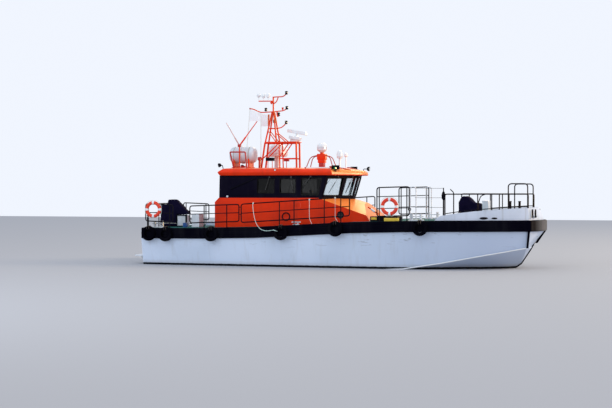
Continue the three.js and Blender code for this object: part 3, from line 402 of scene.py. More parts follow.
# Weathering masks in the piece's own place: soft patches, runs down the sides and fine grain
def makeWeathering():
    group = bpy.data.node_groups.new("weathering", "ShaderNodeTree")
    given, result = groupSockets(group, ["Patch", "Run", "Grain"], ["Scale", "Run Scale", "Grain Scale"])
    place = addNode(group, "ShaderNodeTexCoord").outputs["Object"]
    patch = addNode(group, "ShaderNodeTexNoise",
                    {"Vector": place, "Scale": given.outputs["Scale"], "Detail": 5.0})
    squeezed = addNode(group, "ShaderNodeMapping", {"Vector": place, "Scale": (1.0, 1.0, 0.07)}).outputs[0]
    run = addNode(group, "ShaderNodeTexNoise",
                  {"Vector": squeezed, "Scale": given.outputs["Run Scale"], "Detail": 4.0})
    grain = addNode(group, "ShaderNodeTexNoise",
                    {"Vector": place, "Scale": given.outputs["Grain Scale"], "Detail": 3.0})
    group.links.new(rangeOf(group, patch.outputs["Fac"], 0.42, 0.66), result.inputs["Patch"])
    group.links.new(rangeOf(group, run.outputs["Fac"], 0.52, 0.74), result.inputs["Run"])
    group.links.new(grain.outputs["Fac"], result.inputs["Grain"])
    return group


# How much a surface looks one way: up, where dust and salt settle, or ahead and up, where painted sunlight
# lightens the paint
def makeFacing(name, way):
    group = bpy.data.node_groups.new(name, "ShaderNodeTree")
    given, result = groupSockets(group, ["Share"], ["From", "To"])
    facing = addNode(group, "ShaderNodeNewGeometry").outputs["Normal"]
    along = addNode(group, "ShaderNodeVectorMath", {0: facing, 1: way},
                    operation="DOT_PRODUCT").outputs["Value"]
    inputs = {"Value": along, "From Min": given.outputs["From"], "From Max": given.outputs["To"]}
    share = addNode(group, "ShaderNodeMapRange", inputs)
    group.links.new(share.outputs["Result"], result.inputs["Share"])
    return group


weathering = makeWeathering()
settling = makeFacing("settling", (0.0, 0.0, 1.0))
paintedSunlight = makeFacing("paintedSunlight", (0.8, 0.0, 0.6))


def startFinish(name):
    material = bpy.data.materials.new(name)
    material.use_nodes = True
    tree = material.node_tree
    tree.nodes.clear()
    shader = addNode(tree, "ShaderNodeBsdfPrincipled")
    output = addNode(tree, "ShaderNodeOutputMaterial", {"Surface": shader.outputs["BSDF"]})
    output.location = (300, 0)
    return material, tree, shader


def withInputs(tree, group, inputs):
    made = addNode(tree, "ShaderNodeGroup", node_tree=group)
    for key, value in inputs.items():
        made.inputs[key].default_value = value
    return made


def bumped(tree, shader, height, strength, distance):
    inputs = {"Height": height, "Strength": strength, "Distance": distance}
    bump = addNode(tree, "ShaderNodeBump", inputs)
    tree.links.new(bump.outputs["Normal"], shader.inputs["Normal"])


# Every paint, plastic, metal and rubber: colour, a second tone in patches, dirt, gloss range, shine, coat,
# how strong runs and dust are, grain scale, relief and metal
lookNames = ("colour", "tone", "dirt", "gloss", "shine", "coat", "runs", "dust", "grain", "bump", "metal")
lookRows = {
    "orangePaint": ((0.84, 0.036, 0.003), (0.68, 0.026, 0.003), (0.16, 0.035, 0.02), (0.28, 0.42), 0.12, 0.0,
                    0.22, 0.06, 55.0, 0.05, 0.0),
    "navyPanel": ((0.0045, 0.0035, 0.011), (0.008, 0.007, 0.016), (0.05, 0.05, 0.06), (0.25, 0.42), 0.01, 0.0,
                  0.08, 0.04, 60.0, 0.04, 0.0),
    "whitePaint": ((0.72, 0.76, 0.82), (0.62, 0.66, 0.71), (0.34, 0.3, 0.24), (0.35, 0.55), 0.25, 0.0,
                   0.28, 0.12, 70.0, 0.05, 0.0),
    "whitePlastic": ((0.84, 0.88, 0.91), (0.76, 0.79, 0.83), (0.46, 0.42, 0.36), (0.3, 0.45), 0.3, 0.05,
                     0.18, 0.1, 90.0, 0.03, 0.0),
    "raftPlastic": ((0.7, 0.78, 0.86), (0.6, 0.67, 0.74), (0.36, 0.32, 0.3), (0.34, 0.5), 0.25, 0.0,
                    0.22, 0.12, 70.0, 0.04, 0.0),
    "rosePlastic": ((0.7, 0.42, 0.4), (0.62, 0.34, 0.32), (0.34, 0.24, 0.2), (0.34, 0.5), 0.2, 0.0,
                    0.2, 0.1, 70.0, 0.04, 0.0),
    "deckWhite": ((0.66, 0.72, 0.84), (0.56, 0.62, 0.72), (0.26, 0.24, 0.22), (0.38, 0.6), 0.06, 0.0,
                  0.34, 0.15, 60.0, 0.06, 0.0),
    "blackPaint": ((0.004, 0.004, 0.008), (0.008, 0.008, 0.013), (0.06, 0.04, 0.03), (0.4, 0.62), 0.03, 0.0,
                   0.1, 0.05, 90.0, 0.05, 0.0),
    "redPaint": ((0.46, 0.012, 0.01), (0.36, 0.01, 0.009), (0.12, 0.03, 0.02), (0.3, 0.5), 0.28, 0.0,
                 0.15, 0.08, 60.0, 0.05, 0.0),
    "bandRubber": ((0.0025, 0.0022, 0.006), (0.005, 0.005, 0.009), (0.045, 0.045, 0.05), (0.75, 0.92), 0.0,
                   0.0, 0.12, 0.1, 45.0, 0.25, 0.0),
    "tyreRubber": ((0.002, 0.0018, 0.0042), (0.005, 0.005, 0.008), (0.03, 0.03, 0.033), (0.8, 0.95), 0.0, 0.0,
                   0.1, 0.08, 60.0, 0.3, 0.0),
    "buoyFoam": ((0.8, 0.06, 0.022), (0.7, 0.035, 0.03), (0.3, 0.12, 0.08), (0.5, 0.7), 0.25, 0.0,
                 0.12, 0.08, 90.0, 0.08, 0.0),
    "noseRubber": ((0.005, 0.005, 0.008), (0.007, 0.007, 0.01), (0.03, 0.03, 0.03), (0.7, 0.85), 0.01, 0.0,
                   0.2, 0.1, 45.0, 0.25, 0.0),
    "ribRubber": ((0.025, 0.025, 0.028), (0.035, 0.035, 0.038), (0.05, 0.05, 0.05), (0.6, 0.8), 0.05, 0.0,
                  0.25, 0.2, 45.0, 0.25, 0.0),
    "softRubber": ((0.008, 0.008, 0.01), (0.014, 0.014, 0.016), (0.07, 0.07, 0.07), (0.6, 0.8), 0.03, 0.0,
                   0.1, 0.08, 80.0, 0.15, 0.0),
    "bronze": ((0.48, 0.26, 0.085), (0.36, 0.19, 0.07), (0.06, 0.1, 0.07), (0.22, 0.48), 0.5, 0.0,
               0.2, 0.1, 40.0, 0.08, 1.0),
    "steel": ((0.52, 0.54, 0.56), (0.42, 0.44, 0.46), (0.2, 0.15, 0.1), (0.22, 0.42), 0.5, 0.0,
              0.25, 0.12, 90.0, 0.06, 1.0),
    "cabinGrey": ((0.1, 0.105, 0.11), (0.08, 0.085, 0.09), (0.05, 0.05, 0.05), (0.45, 0.65), 0.3, 0.0,
                  0.05, 0.1, 120.0, 0.1, 0.0),
    "screenGlass": ((0.006, 0.01, 0.014), (0.01, 0.014, 0.02), (0.03, 0.03, 0.03), (0.1, 0.2), 0.4, 0.2,
                    0.04, 0.05, 60.0, 0.0, 0.0),
    "greenLens": ((0.02, 0.36, 0.1), (0.02, 0.28, 0.08), (0.05, 0.1, 0.05), (0.1, 0.22), 0.5, 0.5,
                  0.08, 0.05, 80.0, 0.02, 0.0),
    "redLens": ((0.6, 0.02, 0.02), (0.5, 0.02, 0.02), (0.1, 0.05, 0.05), (0.1, 0.22), 0.5, 0.5,
                0.08, 0.05, 80.0, 0.02, 0.0),
    "clearLens": ((0.7, 0.72, 0.76), (0.6, 0.62, 0.66), (0.3, 0.3, 0.3), (0.08, 0.18), 0.5, 0.5,
                  0.08, 0.05, 80.0, 0.02, 0.0),
    "blueDrum": ((0.02, 0.09, 0.3), (0.02, 0.07, 0.24), (0.08, 0.08, 0.1), (0.35, 0.55), 0.35, 0.0,
                 0.15, 0.12, 60.0, 0.08, 0.0),
    "yellowPaint": ((0.92, 0.66, 0.08), (0.8, 0.52, 0.05), (0.2, 0.15, 0.06), (0.34, 0.55), 0.3, 0.0,
                    0.15, 0.12, 60.0, 0.06, 0.0),
    "zinc": ((0.44, 0.45, 0.45), (0.34, 0.35, 0.35), (0.2, 0.22, 0.18), (0.55, 0.8), 0.4, 0.0,
             0.2, 0.1, 60.0, 0.35, 0.8),
}
finishLooks = {name: dict(zip(lookNames, row)) for name, row in lookRows.items()}
# Painted sunlight: orange faces turned ahead and up are lightened towards yellow, as if lit by the low light
sunlitTones = {"orangePaint": (0.96, 0.27, 0.055)}
noseLightRange = (8.74, 9.08)  # along the boat, from the dark band to the painted light of the lit nose tip
# Painted light: the nose's rubber and ribs lighten to grey towards the tip, where the nose faces the light
noseLightTones = {"noseRubber": (0.15, 0.145, 0.145), "ribRubber": (0.24, 0.23, 0.23)}


def weatheredColour(tree, look, patchScale=0.9):
    masks = withInputs(tree, weathering,
                       {"Scale": patchScale, "Run Scale": 5.0, "Grain Scale": look["grain"]})
    top = withInputs(tree, settling, {"From": 0.55, "To": 1.0}).outputs["Share"]
    colour = mixed(tree, masks.outputs["Patch"], look["colour"], look["tone"])
    colour = mixed(tree, mathOf(tree, "MULTIPLY", masks.outputs["Run"], look["runs"]), colour, look["dirt"])
    dusty = mathOf(tree, "MULTIPLY", mathOf(tree, "MULTIPLY", top, masks.outputs["Grain"]), 2 * look["dust"])
    return mixed(tree, dusty, colour, look["dirt"]), masks


def makeFinish(name):
    look = finishLooks[name]
    material, tree, shader = startFinish(name)
    colour, masks = weatheredColour(tree, look)
    # painted sunlight on the faces turned ahead and up
    if name in sunlitTones:
        ahead = withInputs(tree, paintedSunlight, {"From": 0.5, "To": 0.8}).outputs["Share"]
        colour = mixed(tree, ahead, colour, sunlitTones[name])
    # the nose lightens towards the tip: painted light on the lit nose
    if name in noseLightTones:
        place = addNode(tree, "ShaderNodeTexCoord").outputs["Object"]
        along = addNode(tree, "ShaderNodeSeparateXYZ", {0: place}).outputs["X"]
        colour = mixed(tree, rangeOf(tree, along, *noseLightRange), colour, noseLightTones[name])
    tree.links.new(colour, shader.inputs["Base Color"])
    tree.links.new(rangeOf(tree, masks.outputs["Patch"], 0.0, 1.0, *look["gloss"]),
                   shader.inputs["Roughness"])
    shader.inputs["Metallic"].default_value = look["metal"]
    shader.inputs["Specular IOR Level"].default_value = look["shine"]
    shader.inputs["Coat Weight"].default_value = look["coat"]
    shader.inputs["Coat Roughness"].default_value = 0.2
    if look["bump"]:
        bumped(tree, shader, masks.outputs["Grain"], look["bump"], 0.004)
    return material


finishes = {name: makeFinish(name) for name in finishLooks}


# Hull: white sides with a blue cast of painted sky light, darker towards the bow as painted shade, a black
# boot stripe and bottom, a teal non-slip deck, and scuffs below the fender band
hullLook = {
    # colour and tone: white paint with the blue of the sky light painted in
    "colour": (0.68, 0.78, 0.94), "tone": (0.58, 0.68, 0.83), "fore": (0.52, 0.61, 0.78),
    "dirt": (0.3, 0.29, 0.26), "gloss": (0.34, 0.55), "runs": 0.16, "dust": 0.0, "grain": 60.0,
    "stripe": (0.006, 0.007, 0.011), "stripeTop": 0.092, "deck": (0.02, 0.14, 0.135),
    # fore and its range: painted shade, the white darkened towards the bow
    "deckTone": (0.015, 0.1, 0.1), "scuff": (0.09, 0.09, 0.11), "foreShadeRange": (1.5, 6.5),
    "scuffRange": (0.75, 1.35), "deckTop": (2.105, 2.1), "scuffShare": 0.55, "film": 0.16, "filmShare": 0.35,
    "stripeBlur": 0.003, "shine": 0.08,
}


def makeHullPaint():
    look = hullLook
    material, tree, shader = startFinish("hullPaint")
    colour, masks = weatheredColour(tree, look, 0.35)
    place = addNode(tree, "ShaderNodeTexCoord").outputs["Object"]
    height = addNode(tree, "ShaderNodeSeparateXYZ", {0: place}).outputs["Z"]
    along = addNode(tree, "ShaderNodeSeparateXYZ", {0: place}).outputs["X"]
    # painted shade: the white darkens towards the bow
    colour = mixed(tree, rangeOf(tree, along, *look["foreShadeRange"]), colour, look["fore"])
    ripple = addNode(tree, "ShaderNodeTexNoise",
                     {"Vector": place, "Scale": 9.0, "Detail": 3.0}).outputs["Fac"]
    long = addNode(tree, "ShaderNodeMapping", {"Vector": place, "Scale": (0.7, 0.7, 4.0)}).outputs[0]
    rub = addNode(tree, "ShaderNodeTexNoise", {"Vector": long, "Scale": 2.2, "Detail": 8.0, "Roughness": 0.7})
    rubHeight = rangeOf(tree, height, *look["scuffRange"])
    rubbed = mathOf(tree, "MULTIPLY", rangeOf(tree, rub.outputs["Fac"], 0.6, 0.66), rubHeight)
    colour = mixed(tree, mathOf(tree, "MULTIPLY", rubbed, look["scuffShare"]), colour, look["scuff"])
    edge = mathOf(tree, "ADD", height, rangeOf(tree, ripple, 0.3, 0.7, -0.006, 0.006))
    stripeTop, blur = look["stripeTop"], look["stripeBlur"]
    film = rangeOf(tree, edge, stripeTop + look["film"], stripeTop, 0.0, look["filmShare"])
    colour = mixed(tree, film, colour, look["dirt"])
    low = rangeOf(tree, edge, stripeTop + blur, stripeTop - blur)
    colour = mixed(tree, low, colour, look["stripe"])
    up = withInputs(tree, settling, {"From": 0.9, "To": 0.94}).outputs["Share"]
    flat = mathOf(tree, "MULTIPLY", up, rangeOf(tree, height, *look["deckTop"]))
    deckColour = mixed(tree, masks.outputs["Patch"], look["deck"], look["deckTone"])
    colour = mixed(tree, flat, colour, deckColour)
    tree.links.new(colour, shader.inputs["Base Color"])
    gloss = rangeOf(tree, masks.outputs["Patch"], 0.0, 1.0, *look["gloss"])
    tree.links.new(mathOf(tree, "ADD", gloss, mathOf(tree, "MULTIPLY", flat, 0.45)),
                   shader.inputs["Roughness"])
    grit = addNode(tree, "ShaderNodeTexVoronoi", {"Vector": place, "Scale": 160.0}).outputs["Distance"]
    swell = addNode(tree, "ShaderNodeTexNoise", {"Vector": place, "Scale": 1.1, "Detail": 2.0}).outputs["Fac"]
    relief = mathOf(tree, "ADD", mathOf(tree, "MULTIPLY", grit, flat), mathOf(tree, "MULTIPLY", swell, 1.5))
    bumped(tree, shader, relief, 0.25, 0.006)
    shader.inputs["Specular IOR Level"].default_value = look["shine"]
    return material


# Panes: clear in front and for the farther foremost side pane, tinted elsewhere
glassLook = {"clear": (0.8, 0.84, 0.86), "wiped": (0.7, 0.74, 0.76), "tint": (0.15, 0.15, 0.145),
             "tintX": (-0.12, -0.2), "farX": (-1.3, -1.25), "farY": (0.4, 0.5), "gloss": (0.015, 0.08),
             "ior": 1.25}


def makeWindowGlass():
    look = glassLook
    material, tree, shader = startFinish("windowGlass")
    masks = withInputs(tree, weathering, {"Scale": 2.0, "Run Scale": 9.0, "Grain Scale": 40.0})
    colour = mixed(tree, masks.outputs["Run"], look["clear"], look["wiped"])
    place = addNode(tree, "ShaderNodeTexCoord").outputs["Object"]
    parted = addNode(tree, "ShaderNodeSeparateXYZ", {0: place}).outputs
    farX, farY = rangeOf(tree, parted["X"], *look["farX"]), rangeOf(tree, parted["Y"], *look["farY"])
    farPane = mathOf(tree, "MULTIPLY", farX, farY)
    tinted = mathOf(tree, "SUBTRACT", rangeOf(tree, parted["X"], *look["tintX"]), farPane)
    tree.links.new(mixed(tree, tinted, colour, look["tint"]), shader.inputs["Base Color"])
    tree.links.new(rangeOf(tree, masks.outputs["Run"], 0.0, 1.0, *look["gloss"]), shader.inputs["Roughness"])
    shader.inputs["Transmission Weight"].default_value = 1.0
    shader.inputs["IOR"].default_value = look["ior"]
    return material


# Canvas and flag cloth share a weave; the rope's strands read their own grain
clothLooks = {
    "canvas": dict(colour=(0.004, 0.0035, 0.016), tone=(0.009, 0.007, 0.028), threads=420.0, bump=0.35,
                   sheen=0.0, shine=0.02),
    "flagCloth": dict(colour=(0.96, 0.95, 0.96), tone=(0.9, 0.89, 0.92), threads=700.0, bump=0.15, sheen=0.3),
    "flagOrange": dict(colour=(0.78, 0.16, 0.04), tone=(0.68, 0.12, 0.03), threads=700.0, bump=0.15,
                       sheen=0.3),
    "seatCloth": dict(colour=(0.02, 0.022, 0.026), tone=(0.03, 0.032, 0.036), threads=520.0, bump=0.3,
                      sheen=0.2),
    "webbing": dict(colour=(0.5, 0.5, 0.46), tone=(0.42, 0.42, 0.38), threads=900.0, bump=0.4, sheen=0.1),
}


def makeWeave():
    group = bpy.data.node_groups.new("weave", "ShaderNodeTree")
    given, result = groupSockets(group, ["Thread"], ["Threads"])
    place = addNode(group, "ShaderNodeTexCoord").outputs["Object"]
    turn = addNode(group, "ShaderNodeMapping", {"Vector": place, "Rotation": (0.0, 0.0, 0.6)}).outputs[0]
    waves = [
        addNode(group, "ShaderNodeTexWave", {"Vector": turn, "Scale": given.outputs["Threads"]},
                bands_direction=way)
        for way in ("X", "Z")
    ]
    thread = mathOf(group, "MAXIMUM", waves[0].outputs["Fac"], waves[1].outputs["Fac"])
    group.links.new(thread, result.inputs["Thread"])
    return group


weave = makeWeave()


def makeCloth(name):
    look = clothLooks[name]
    material, tree, shader = startFinish(name)
    masks = withInputs(tree, weathering, {"Scale": 3.0, "Run Scale": 5.0, "Grain Scale": 50.0})
    thread = withInputs(tree, weave, {"Threads": look["threads"]}).outputs["Thread"]
    share = mathOf(tree, "MULTIPLY", mathOf(tree, "ADD", thread, masks.outputs["Patch"]), 0.5)
    tree.links.new(mixed(tree, share, look["colour"], look["tone"]), shader.inputs["Base Color"])
    tree.links.new(rangeOf(tree, thread, 0.0, 1.0, 0.72, 0.92), shader.inputs["Roughness"])
    shader.inputs["Sheen Weight"].default_value = look["sheen"]
    shader.inputs["Specular IOR Level"].default_value = look.get("shine", 0.3)
    bumped(tree, shader, thread, look["bump"], 0.0015)
    return material


def makeRopeFinish(name, colour, tone):
    material, tree, shader = startFinish(name)
    masks = withInputs(tree, weathering, {"Scale": 6.0, "Run Scale": 9.0, "Grain Scale": 900.0})
    tree.links.new(mixed(tree, masks.outputs["Grain"], colour, tone), shader.inputs["Base Color"])
    tree.links.new(rangeOf(tree, masks.outputs["Grain"], 0.2, 0.8, 0.7, 0.95), shader.inputs["Roughness"])
    bumped(tree, shader, masks.outputs["Grain"], 0.5, 0.001)
    return material


finishes["hullPaint"] = makeHullPaint()
finishes["windowGlass"] = makeWindowGlass()
finishes.update({name: makeCloth(name) for name in clothLooks})
finishes["ropeTeal"] = makeRopeFinish("ropeTeal", (0.58, 0.86, 0.8), (0.74, 0.92, 0.88))
finishes["ropeDark"] = makeRopeFinish("ropeDark", (0.012, 0.012, 0.014), (0.03, 0.028, 0.03))
finishes["ropeWhite"] = makeRopeFinish("ropeWhite", (0.62, 0.62, 0.56), (0.76, 0.76, 0.72))
print("finishes made:", len(finishes))


# Floor at the waterline, an even pale sky, a warm low light from ahead, and two that only show as sheen
stageFacts = {"floor": 160, "floorColour": (0.44, 0.45, 0.48), "sky": (0.86, 0.9, 0.98), "skyStrength": 1.02}
lightRows = [
    {"spot": (58, 14, 34), "aim": (0, 0, 3), "size": 20, "energy": 23000, "colour": (1.0, 0.8, 0.55),
     "sheen": False},
    {"spot": (-12, -27, 14), "aim": (-2, 0, 2), "size": 16, "energy": 1500, "colour": (0.82, 0.9, 1.0),
     "sheen": False},
    {"spot": (34, -1.5, 6.5), "aim": (0, 0, 4), "size": 10, "energy": 60000, "colour": (1.0, 0.62, 0.3),
     "sheen": True},
    {"spot": (-2, 30, 23), "aim": (0, 0, 2), "size": 20, "energy": 9000, "colour": (1.0, 0.68, 0.36),
     "sheen": True},
]


def makeLight(facts):
    spot, aim = Vector(facts["spot"]), Vector(facts["aim"])
    turn = (aim - spot).to_track_quat("-Z", "Y").to_euler()
    bpy.ops.object.light_add(type="AREA", location=spot, rotation=turn)
    lamp = bpy.context.object
    lamp.data.size = facts["size"]
    lamp.data.energy = facts["energy"]
    lamp.data.color = facts["colour"]
    lamp.visible_diffuse = not facts["sheen"]


def makeStage():
    clearSelection()
    bpy.ops.mesh.primitive_plane_add(size=stageFacts["floor"])
    floor = bpy.context.object
    floor.name = "floor"
    material, tree, shader = startFinish("paleFloor")
    shader.inputs["Base Color"].default_value = (*stageFacts["floorColour"], 1)
    shader.inputs["Roughness"].default_value = 0.9
    shader.inputs["Specular IOR Level"].default_value = 0.0
    floor.data.materials.append(material)
    world = bpy.data.worlds.new("sky")
    world.use_nodes = True
    world.node_tree.nodes["Background"].inputs["Color"].default_value = (*stageFacts["sky"], 1)
    world.node_tree.nodes["Background"].inputs["Strength"].default_value = stageFacts["skyStrength"]
    bpy.context.scene.world = world
    bpy.context.scene.view_settings.view_transform = "Standard"
    for facts in lightRows:
        makeLight(facts)


makeStage()


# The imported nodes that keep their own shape
keptRows = {"window_glass": "windowGlass", "propeller_shaft_starboard": "steel",
            "propeller_shaft_port": "steel"}
for nodeName, finishName in keptRows.items():
    nodes[nodeName].data.materials.clear()
    nodes[nodeName].data.materials.append(finishes[finishName])

# Plated and moulded pieces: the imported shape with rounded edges
# Columns: node, finish, edge radius, its segments
softRows = [
    ("hull", "hullPaint", 0.01, 2),
    ("foredeck_bulwark", "deckWhite", 0.008, 2),
    ("bow_fender", "bandRubber", 0.012, 2),
    ("stern_fender", "bandRubber", 0.018, 3),
    ("stern_platform", "whitePaint", 0.006, 2),
    ("shaft_bracket_starboard", "whitePaint", 0.008, 2),
    ("shaft_bracket_port", "whitePaint", 0.008, 2),
    ("deckhouse_lower", "orangePaint", 0.014, 2),
    ("window_band", "navyPanel", 0.008, 2),
    ("wheelhouse_roof", "orangePaint", 0.035, 3),
    ("aft_door", "orangePaint", 0.004, 2),
    ("radar_gearbox", "whitePlastic", 0.014, 3),
    ("raft_cradle", "orangePaint", 0.006, 2),
    ("helm_console", "cabinGrey", 0.02, 3),
    ("stern_locker", "whitePaint", 0.012, 3),
    ("foredeck_box", "whitePaint", 0.014, 3),
    ("deck_chest", "blackPaint", 0.014, 3),
    ("aft_hatch", "deckWhite", 0.01, 3),
    ("fore_hatch", "deckWhite", 0.01, 3),
]
softBodies = {"aft_door": "door", "aft_hatch": "hatch_lid_aft", "fore_hatch": "hatch_lid_fore"}
# The roof's lower edge stands plumb under its waist at the front corners
plumbCorners = [((0.215, 1.805, 3.93), (0.252, 1.846, 3.93)), ((1.25, 0.5, 3.93), (1.306, 0.503, 3.93))]
plumbCorners += [((a, -b, c), (d, -e, f)) for (a, b, c), (d, e, f) in plumbCorners]
for nodeName, finishName, width, segments in softRows:
    moves = plumbCorners if nodeName == "wheelhouse_roof" else ()
    shell = softened(nodeName, width, segments, moves=moves, merged=nodeName != "window_band")
    setDown(shell, nodeName + "_shell", finishName, body=softBodies.get(nodeName, "boat"), stands=[nodeName])
    applyModifier(shell, "WEIGHTED_NORMAL", keep_sharp=True, weight=50)
print("plated pieces softened:", len(softRows))

# The band's nose is ribbed, and lightens to grey towards the tip as painted light
noseRubberFrom = {"x": 8.6, "z": 1.58}
bowFender = bpy.data.objects["bow_fender_shell"]
bowFender.data.materials.append(finishes["noseRubber"])
for face in bowFender.data.polygons:
    nose = face.center.x > noseRubberFrom["x"] and face.center.z > noseRubberFrom["z"]
    face.material_index = 1 if nose else 0


# Deck edge, half outline: x, y, z
sheerRows = [
    (-8.35, 2.33, 1.62), (-5.5, 2.42, 1.64), (-3.0, 2.45, 1.7), (-0.8, 2.46, 1.83),
    (1.2, 2.45, 1.945), (3.4, 2.4, 2.01), (5.0, 2.28, 2.03), (6.4, 2.05, 2.04),
    (7.55, 1.7, 2.043), (8.15, 1.46, 2.045), (8.52, 1.28, 2.045), (8.86, 0.7, 2.05),
    (9.005, 0.06, 2.05),
]
deckCrown = 0.03


def sheerAt(x):
    for (x0, y0, z0), (x1, y1, z1) in zip(sheerRows, sheerRows[1:]):
        if x <= x1:
            t = max(0.0, (x - x0) / (x1 - x0))
            return y0 + (y1 - y0) * t, z0 + (z1 - z0) * t
    return sheerRows[-1][1:]


def deckAt(x, y=0.0):
    edgeY, edgeZ = sheerAt(x)
    return edgeZ + deckCrown * (1 - abs(y) / edgeY)


# Mirrors what the starboard side was given, and names both sides
def bothSides(parts, name, *facts, stands=(), **more):
    obj = joinAll(parts) if isinstance(parts, list) else parts
    other = mirroredY(obj)
    for side, piece in (("starboard", obj), ("port", other)):
        setDown(piece, name + "_" + side, *facts, stands=[s + "_" + side for s in stands], **more)


# Sets down single pieces: name, finish, slot where it isn't the finish's own, maker and what the maker needs
def layRows(rows, lay=setDown):
    for name, finish, slotName, make, facts in rows:
        lay(make(*facts), name, finish, slotName)


# Fender band with rounded edges and two long grooves, and the tyres hung on it
bandSize = {"thick": 0.115, "top": 0.01, "foot": -0.455, "round": 0.045, "groove": 0.012, "aft": -8.29,
            "fore": 8.298}
tyreSize = {"outer": 0.32, "inner": 0.18, "width": 0.185, "proud": 0.1955, "blocks": 40}
tyreSpots = [(-7.9, 1.39), (-7.09, 1.37), (-4.94, 1.4), (-1.76, 1.49), (0.63, 1.67), (4.2, 1.73)]


def bandSection():
    thick, top, foot, bend, groove = (bandSize[k] for k in ("thick", "top", "foot", "round", "groove"))
    points = [(0.001, top), (thick - bend, top), (thick - bend * 0.3, top - bend * 0.3), (thick, top - bend)]
    for centre in (-0.135, -0.31):
        points += [(thick, centre + 0.022), (thick - groove, centre + 0.012)]
        points += [(thick - groove, centre - 0.012), (thick, centre - 0.022)]
    points += [(thick, foot + bend), (thick - bend * 0.3, foot + bend * 0.3), (thick - bend, foot),
               (0.001, foot)]
    return points


# A mesh carried through rings with the same number of points, closed at both ends
def lofted(rings):
    count = len(rings[0])
    clearSelection()
    bpy.ops.mesh.primitive_circle_add(vertices=count, radius=1, fill_type="NGON")
    obj = bpy.context.object
    for vertex, spot in zip(obj.data.vertices, rings[0]):
        vertex.co = spot
    bpy.ops.object.mode_set(mode="EDIT")
    for ring in rings[1:]:
        bpy.ops.mesh.extrude_region_move(TRANSFORM_OT_translate={"value": (0, 0, 0)})
        bpy.ops.object.mode_set(mode="OBJECT")
        chosen = [v for v in obj.data.vertices if v.select]
        for vertex, spot in zip(chosen, ring):
            vertex.co = spot
        bpy.ops.object.mode_set(mode="EDIT")
    bpy.ops.object.mode_set(mode="OBJECT")
    return outward(obj)


def bandRun():
    aft, fore = bandSize["aft"], bandSize["fore"]
    rows = [row for row in sheerRows if aft < row[0] < fore]
    rows = [(aft, *sheerAt(aft)), *rows, (fore, *sheerAt(fore))]
    rings = []
    for i, (x, y, z) in enumerate(rows):
        before, after = rows[max(i - 1, 0)], rows[min(i + 1, len(rows) - 1)]
        slopes = [(b[1] - a[1]) / (b[0] - a[0]) for a, b in ((before, rows[i]), (rows[i], after)) if a != b]
        slope = sum(slopes) / len(slopes)
        size = math.hypot(1, slope)
        away = Vector((-slope / size, 1 / size, 0)) * math.sqrt(1 + slope * slope) / size
        if i in (0, len(rows) - 1):
            away = Vector((0, 1, 0))
        rings.append([(x + away.x * out, -(y + away.y * out), z + up) for out, up in bandSection()])
    return lofted(rings)


def makeTyre():
    outer, inner, half = tyreSize["outer"], tyreSize["inner"], tyreSize["width"] / 2
    skin = [
        (inner, -half * 0.62), (inner + 0.018, -half * 0.8), (inner + 0.05, -half),
        (inner + 0.085, -half * 0.99), (outer - 0.034, -half * 0.86), (outer - 0.016, -half * 0.74),
        (outer - 0.006, -half * 0.56), (outer - 0.004, -half * 0.36), (outer - 0.014, -half * 0.34),
        (outer - 0.014, -half * 0.24), (outer - 0.001, -half * 0.22), (outer, 0.0),
    ]
    skin += [(r, -h) for r, h in reversed(skin[:-1])]
    lining = [(inner + 0.006, half * 0.5), (inner + 0.05, half * 0.84), (outer - 0.03, half * 0.6)]
    lining += [(r, -h) for r, h in reversed(lining)]
    body = turned([*skin, *lining, skin[0]], axis=(0, 1, 0), steps=48)
    parts = [body]
    count = tyreSize["blocks"]
    lug = block((outer - 0.02, -half * 0.93, -0.012), (outer - 0.0015, -half * 0.4, 0.012), 0.003, 1)
    for k in range(count):
        for share, way in ((0.0, 1), (0.5, -1)):
            turn = Matrix.Rotation(2 * math.pi * (k + share) / count, 4, "Y")
            parts.append(copyOf(lug, turn @ Matrix.Diagonal((1, way, 1, 1))))
    bpy.data.objects.remove(lug)
    return outward(joinAll(parts))


def makeSideFenders():
    bothSides(bandRun(), "fender_band", "bandRubber", stands=["side_fender"])
    tyre = makeTyre()
    for number, (x, z) in enumerate(tyreSpots, 1):
        y = -(sheerAt(x)[0] + tyreSize["proud"])
        hung = copyOf(tyre, Matrix.Translation((x, y, z)) @ Matrix.Rotation(random.uniform(0, 6), 4, "Y"))
        bothSides(hung, "tyre_%d" % number, "tyreRubber")
    bpy.data.objects.remove(tyre)
    print("fender band and tyres hung:", len(tyreSpots) * 2)


makeSideFenders()


# Rails: rounded tube frames on flanged posts
railSize = {"tube": 0.025, "post": 0.023, "bar": 0.018, "bend": 0.11, "flange": 0.055}
railRuns = {
    "aft": dict(y=2.31, aft=(-6.04, 2.6), fore=(-3.76, 2.68), depth=0.74, drops=(0.36,),
                posts=(-5.37, -4.32)),
    "mid": dict(y=2.35, aft=(-3.64, 2.69), fore=(1.18, 3.01), depth=0.79, drops=(0.395,),
                posts=(-1.91, -1.255, 0.08, 0.8)),
    "fore": dict(y=2.23, aft=(2.33, 3.4), fore=(3.7, 3.44), depth=1.2, drops=(0.38, 0.88), posts=(2.43, 3.6)),
    "stern": dict(y=2.18, aft=(-8.2, 2.69), fore=(-6.9, 2.64), depth=0.76, drops=(0.38,),
                  posts=(-8.07, -7.05)),
}


def flange(x, y, z):
    reach = railSize["flange"]
    disc = turned([(0, -0.02), (reach, -0.02), (reach, 0.008), (reach - 0.006, 0.012), (0.026, 0.012),
                   (0.021, 0.035), (0, 0.035)], (x, y, z), steps=20)
    bolts = [turned([(0, 0), (0.007, 0), (0.007, 0.008), (0, 0.01)],
                    (x + 0.04 * math.cos(a), y + 0.04 * math.sin(a), z + 0.01), steps=6)
             for a in (0.8, 2.4, 3.9, 5.5)]
    return joinAll([disc, *bolts])


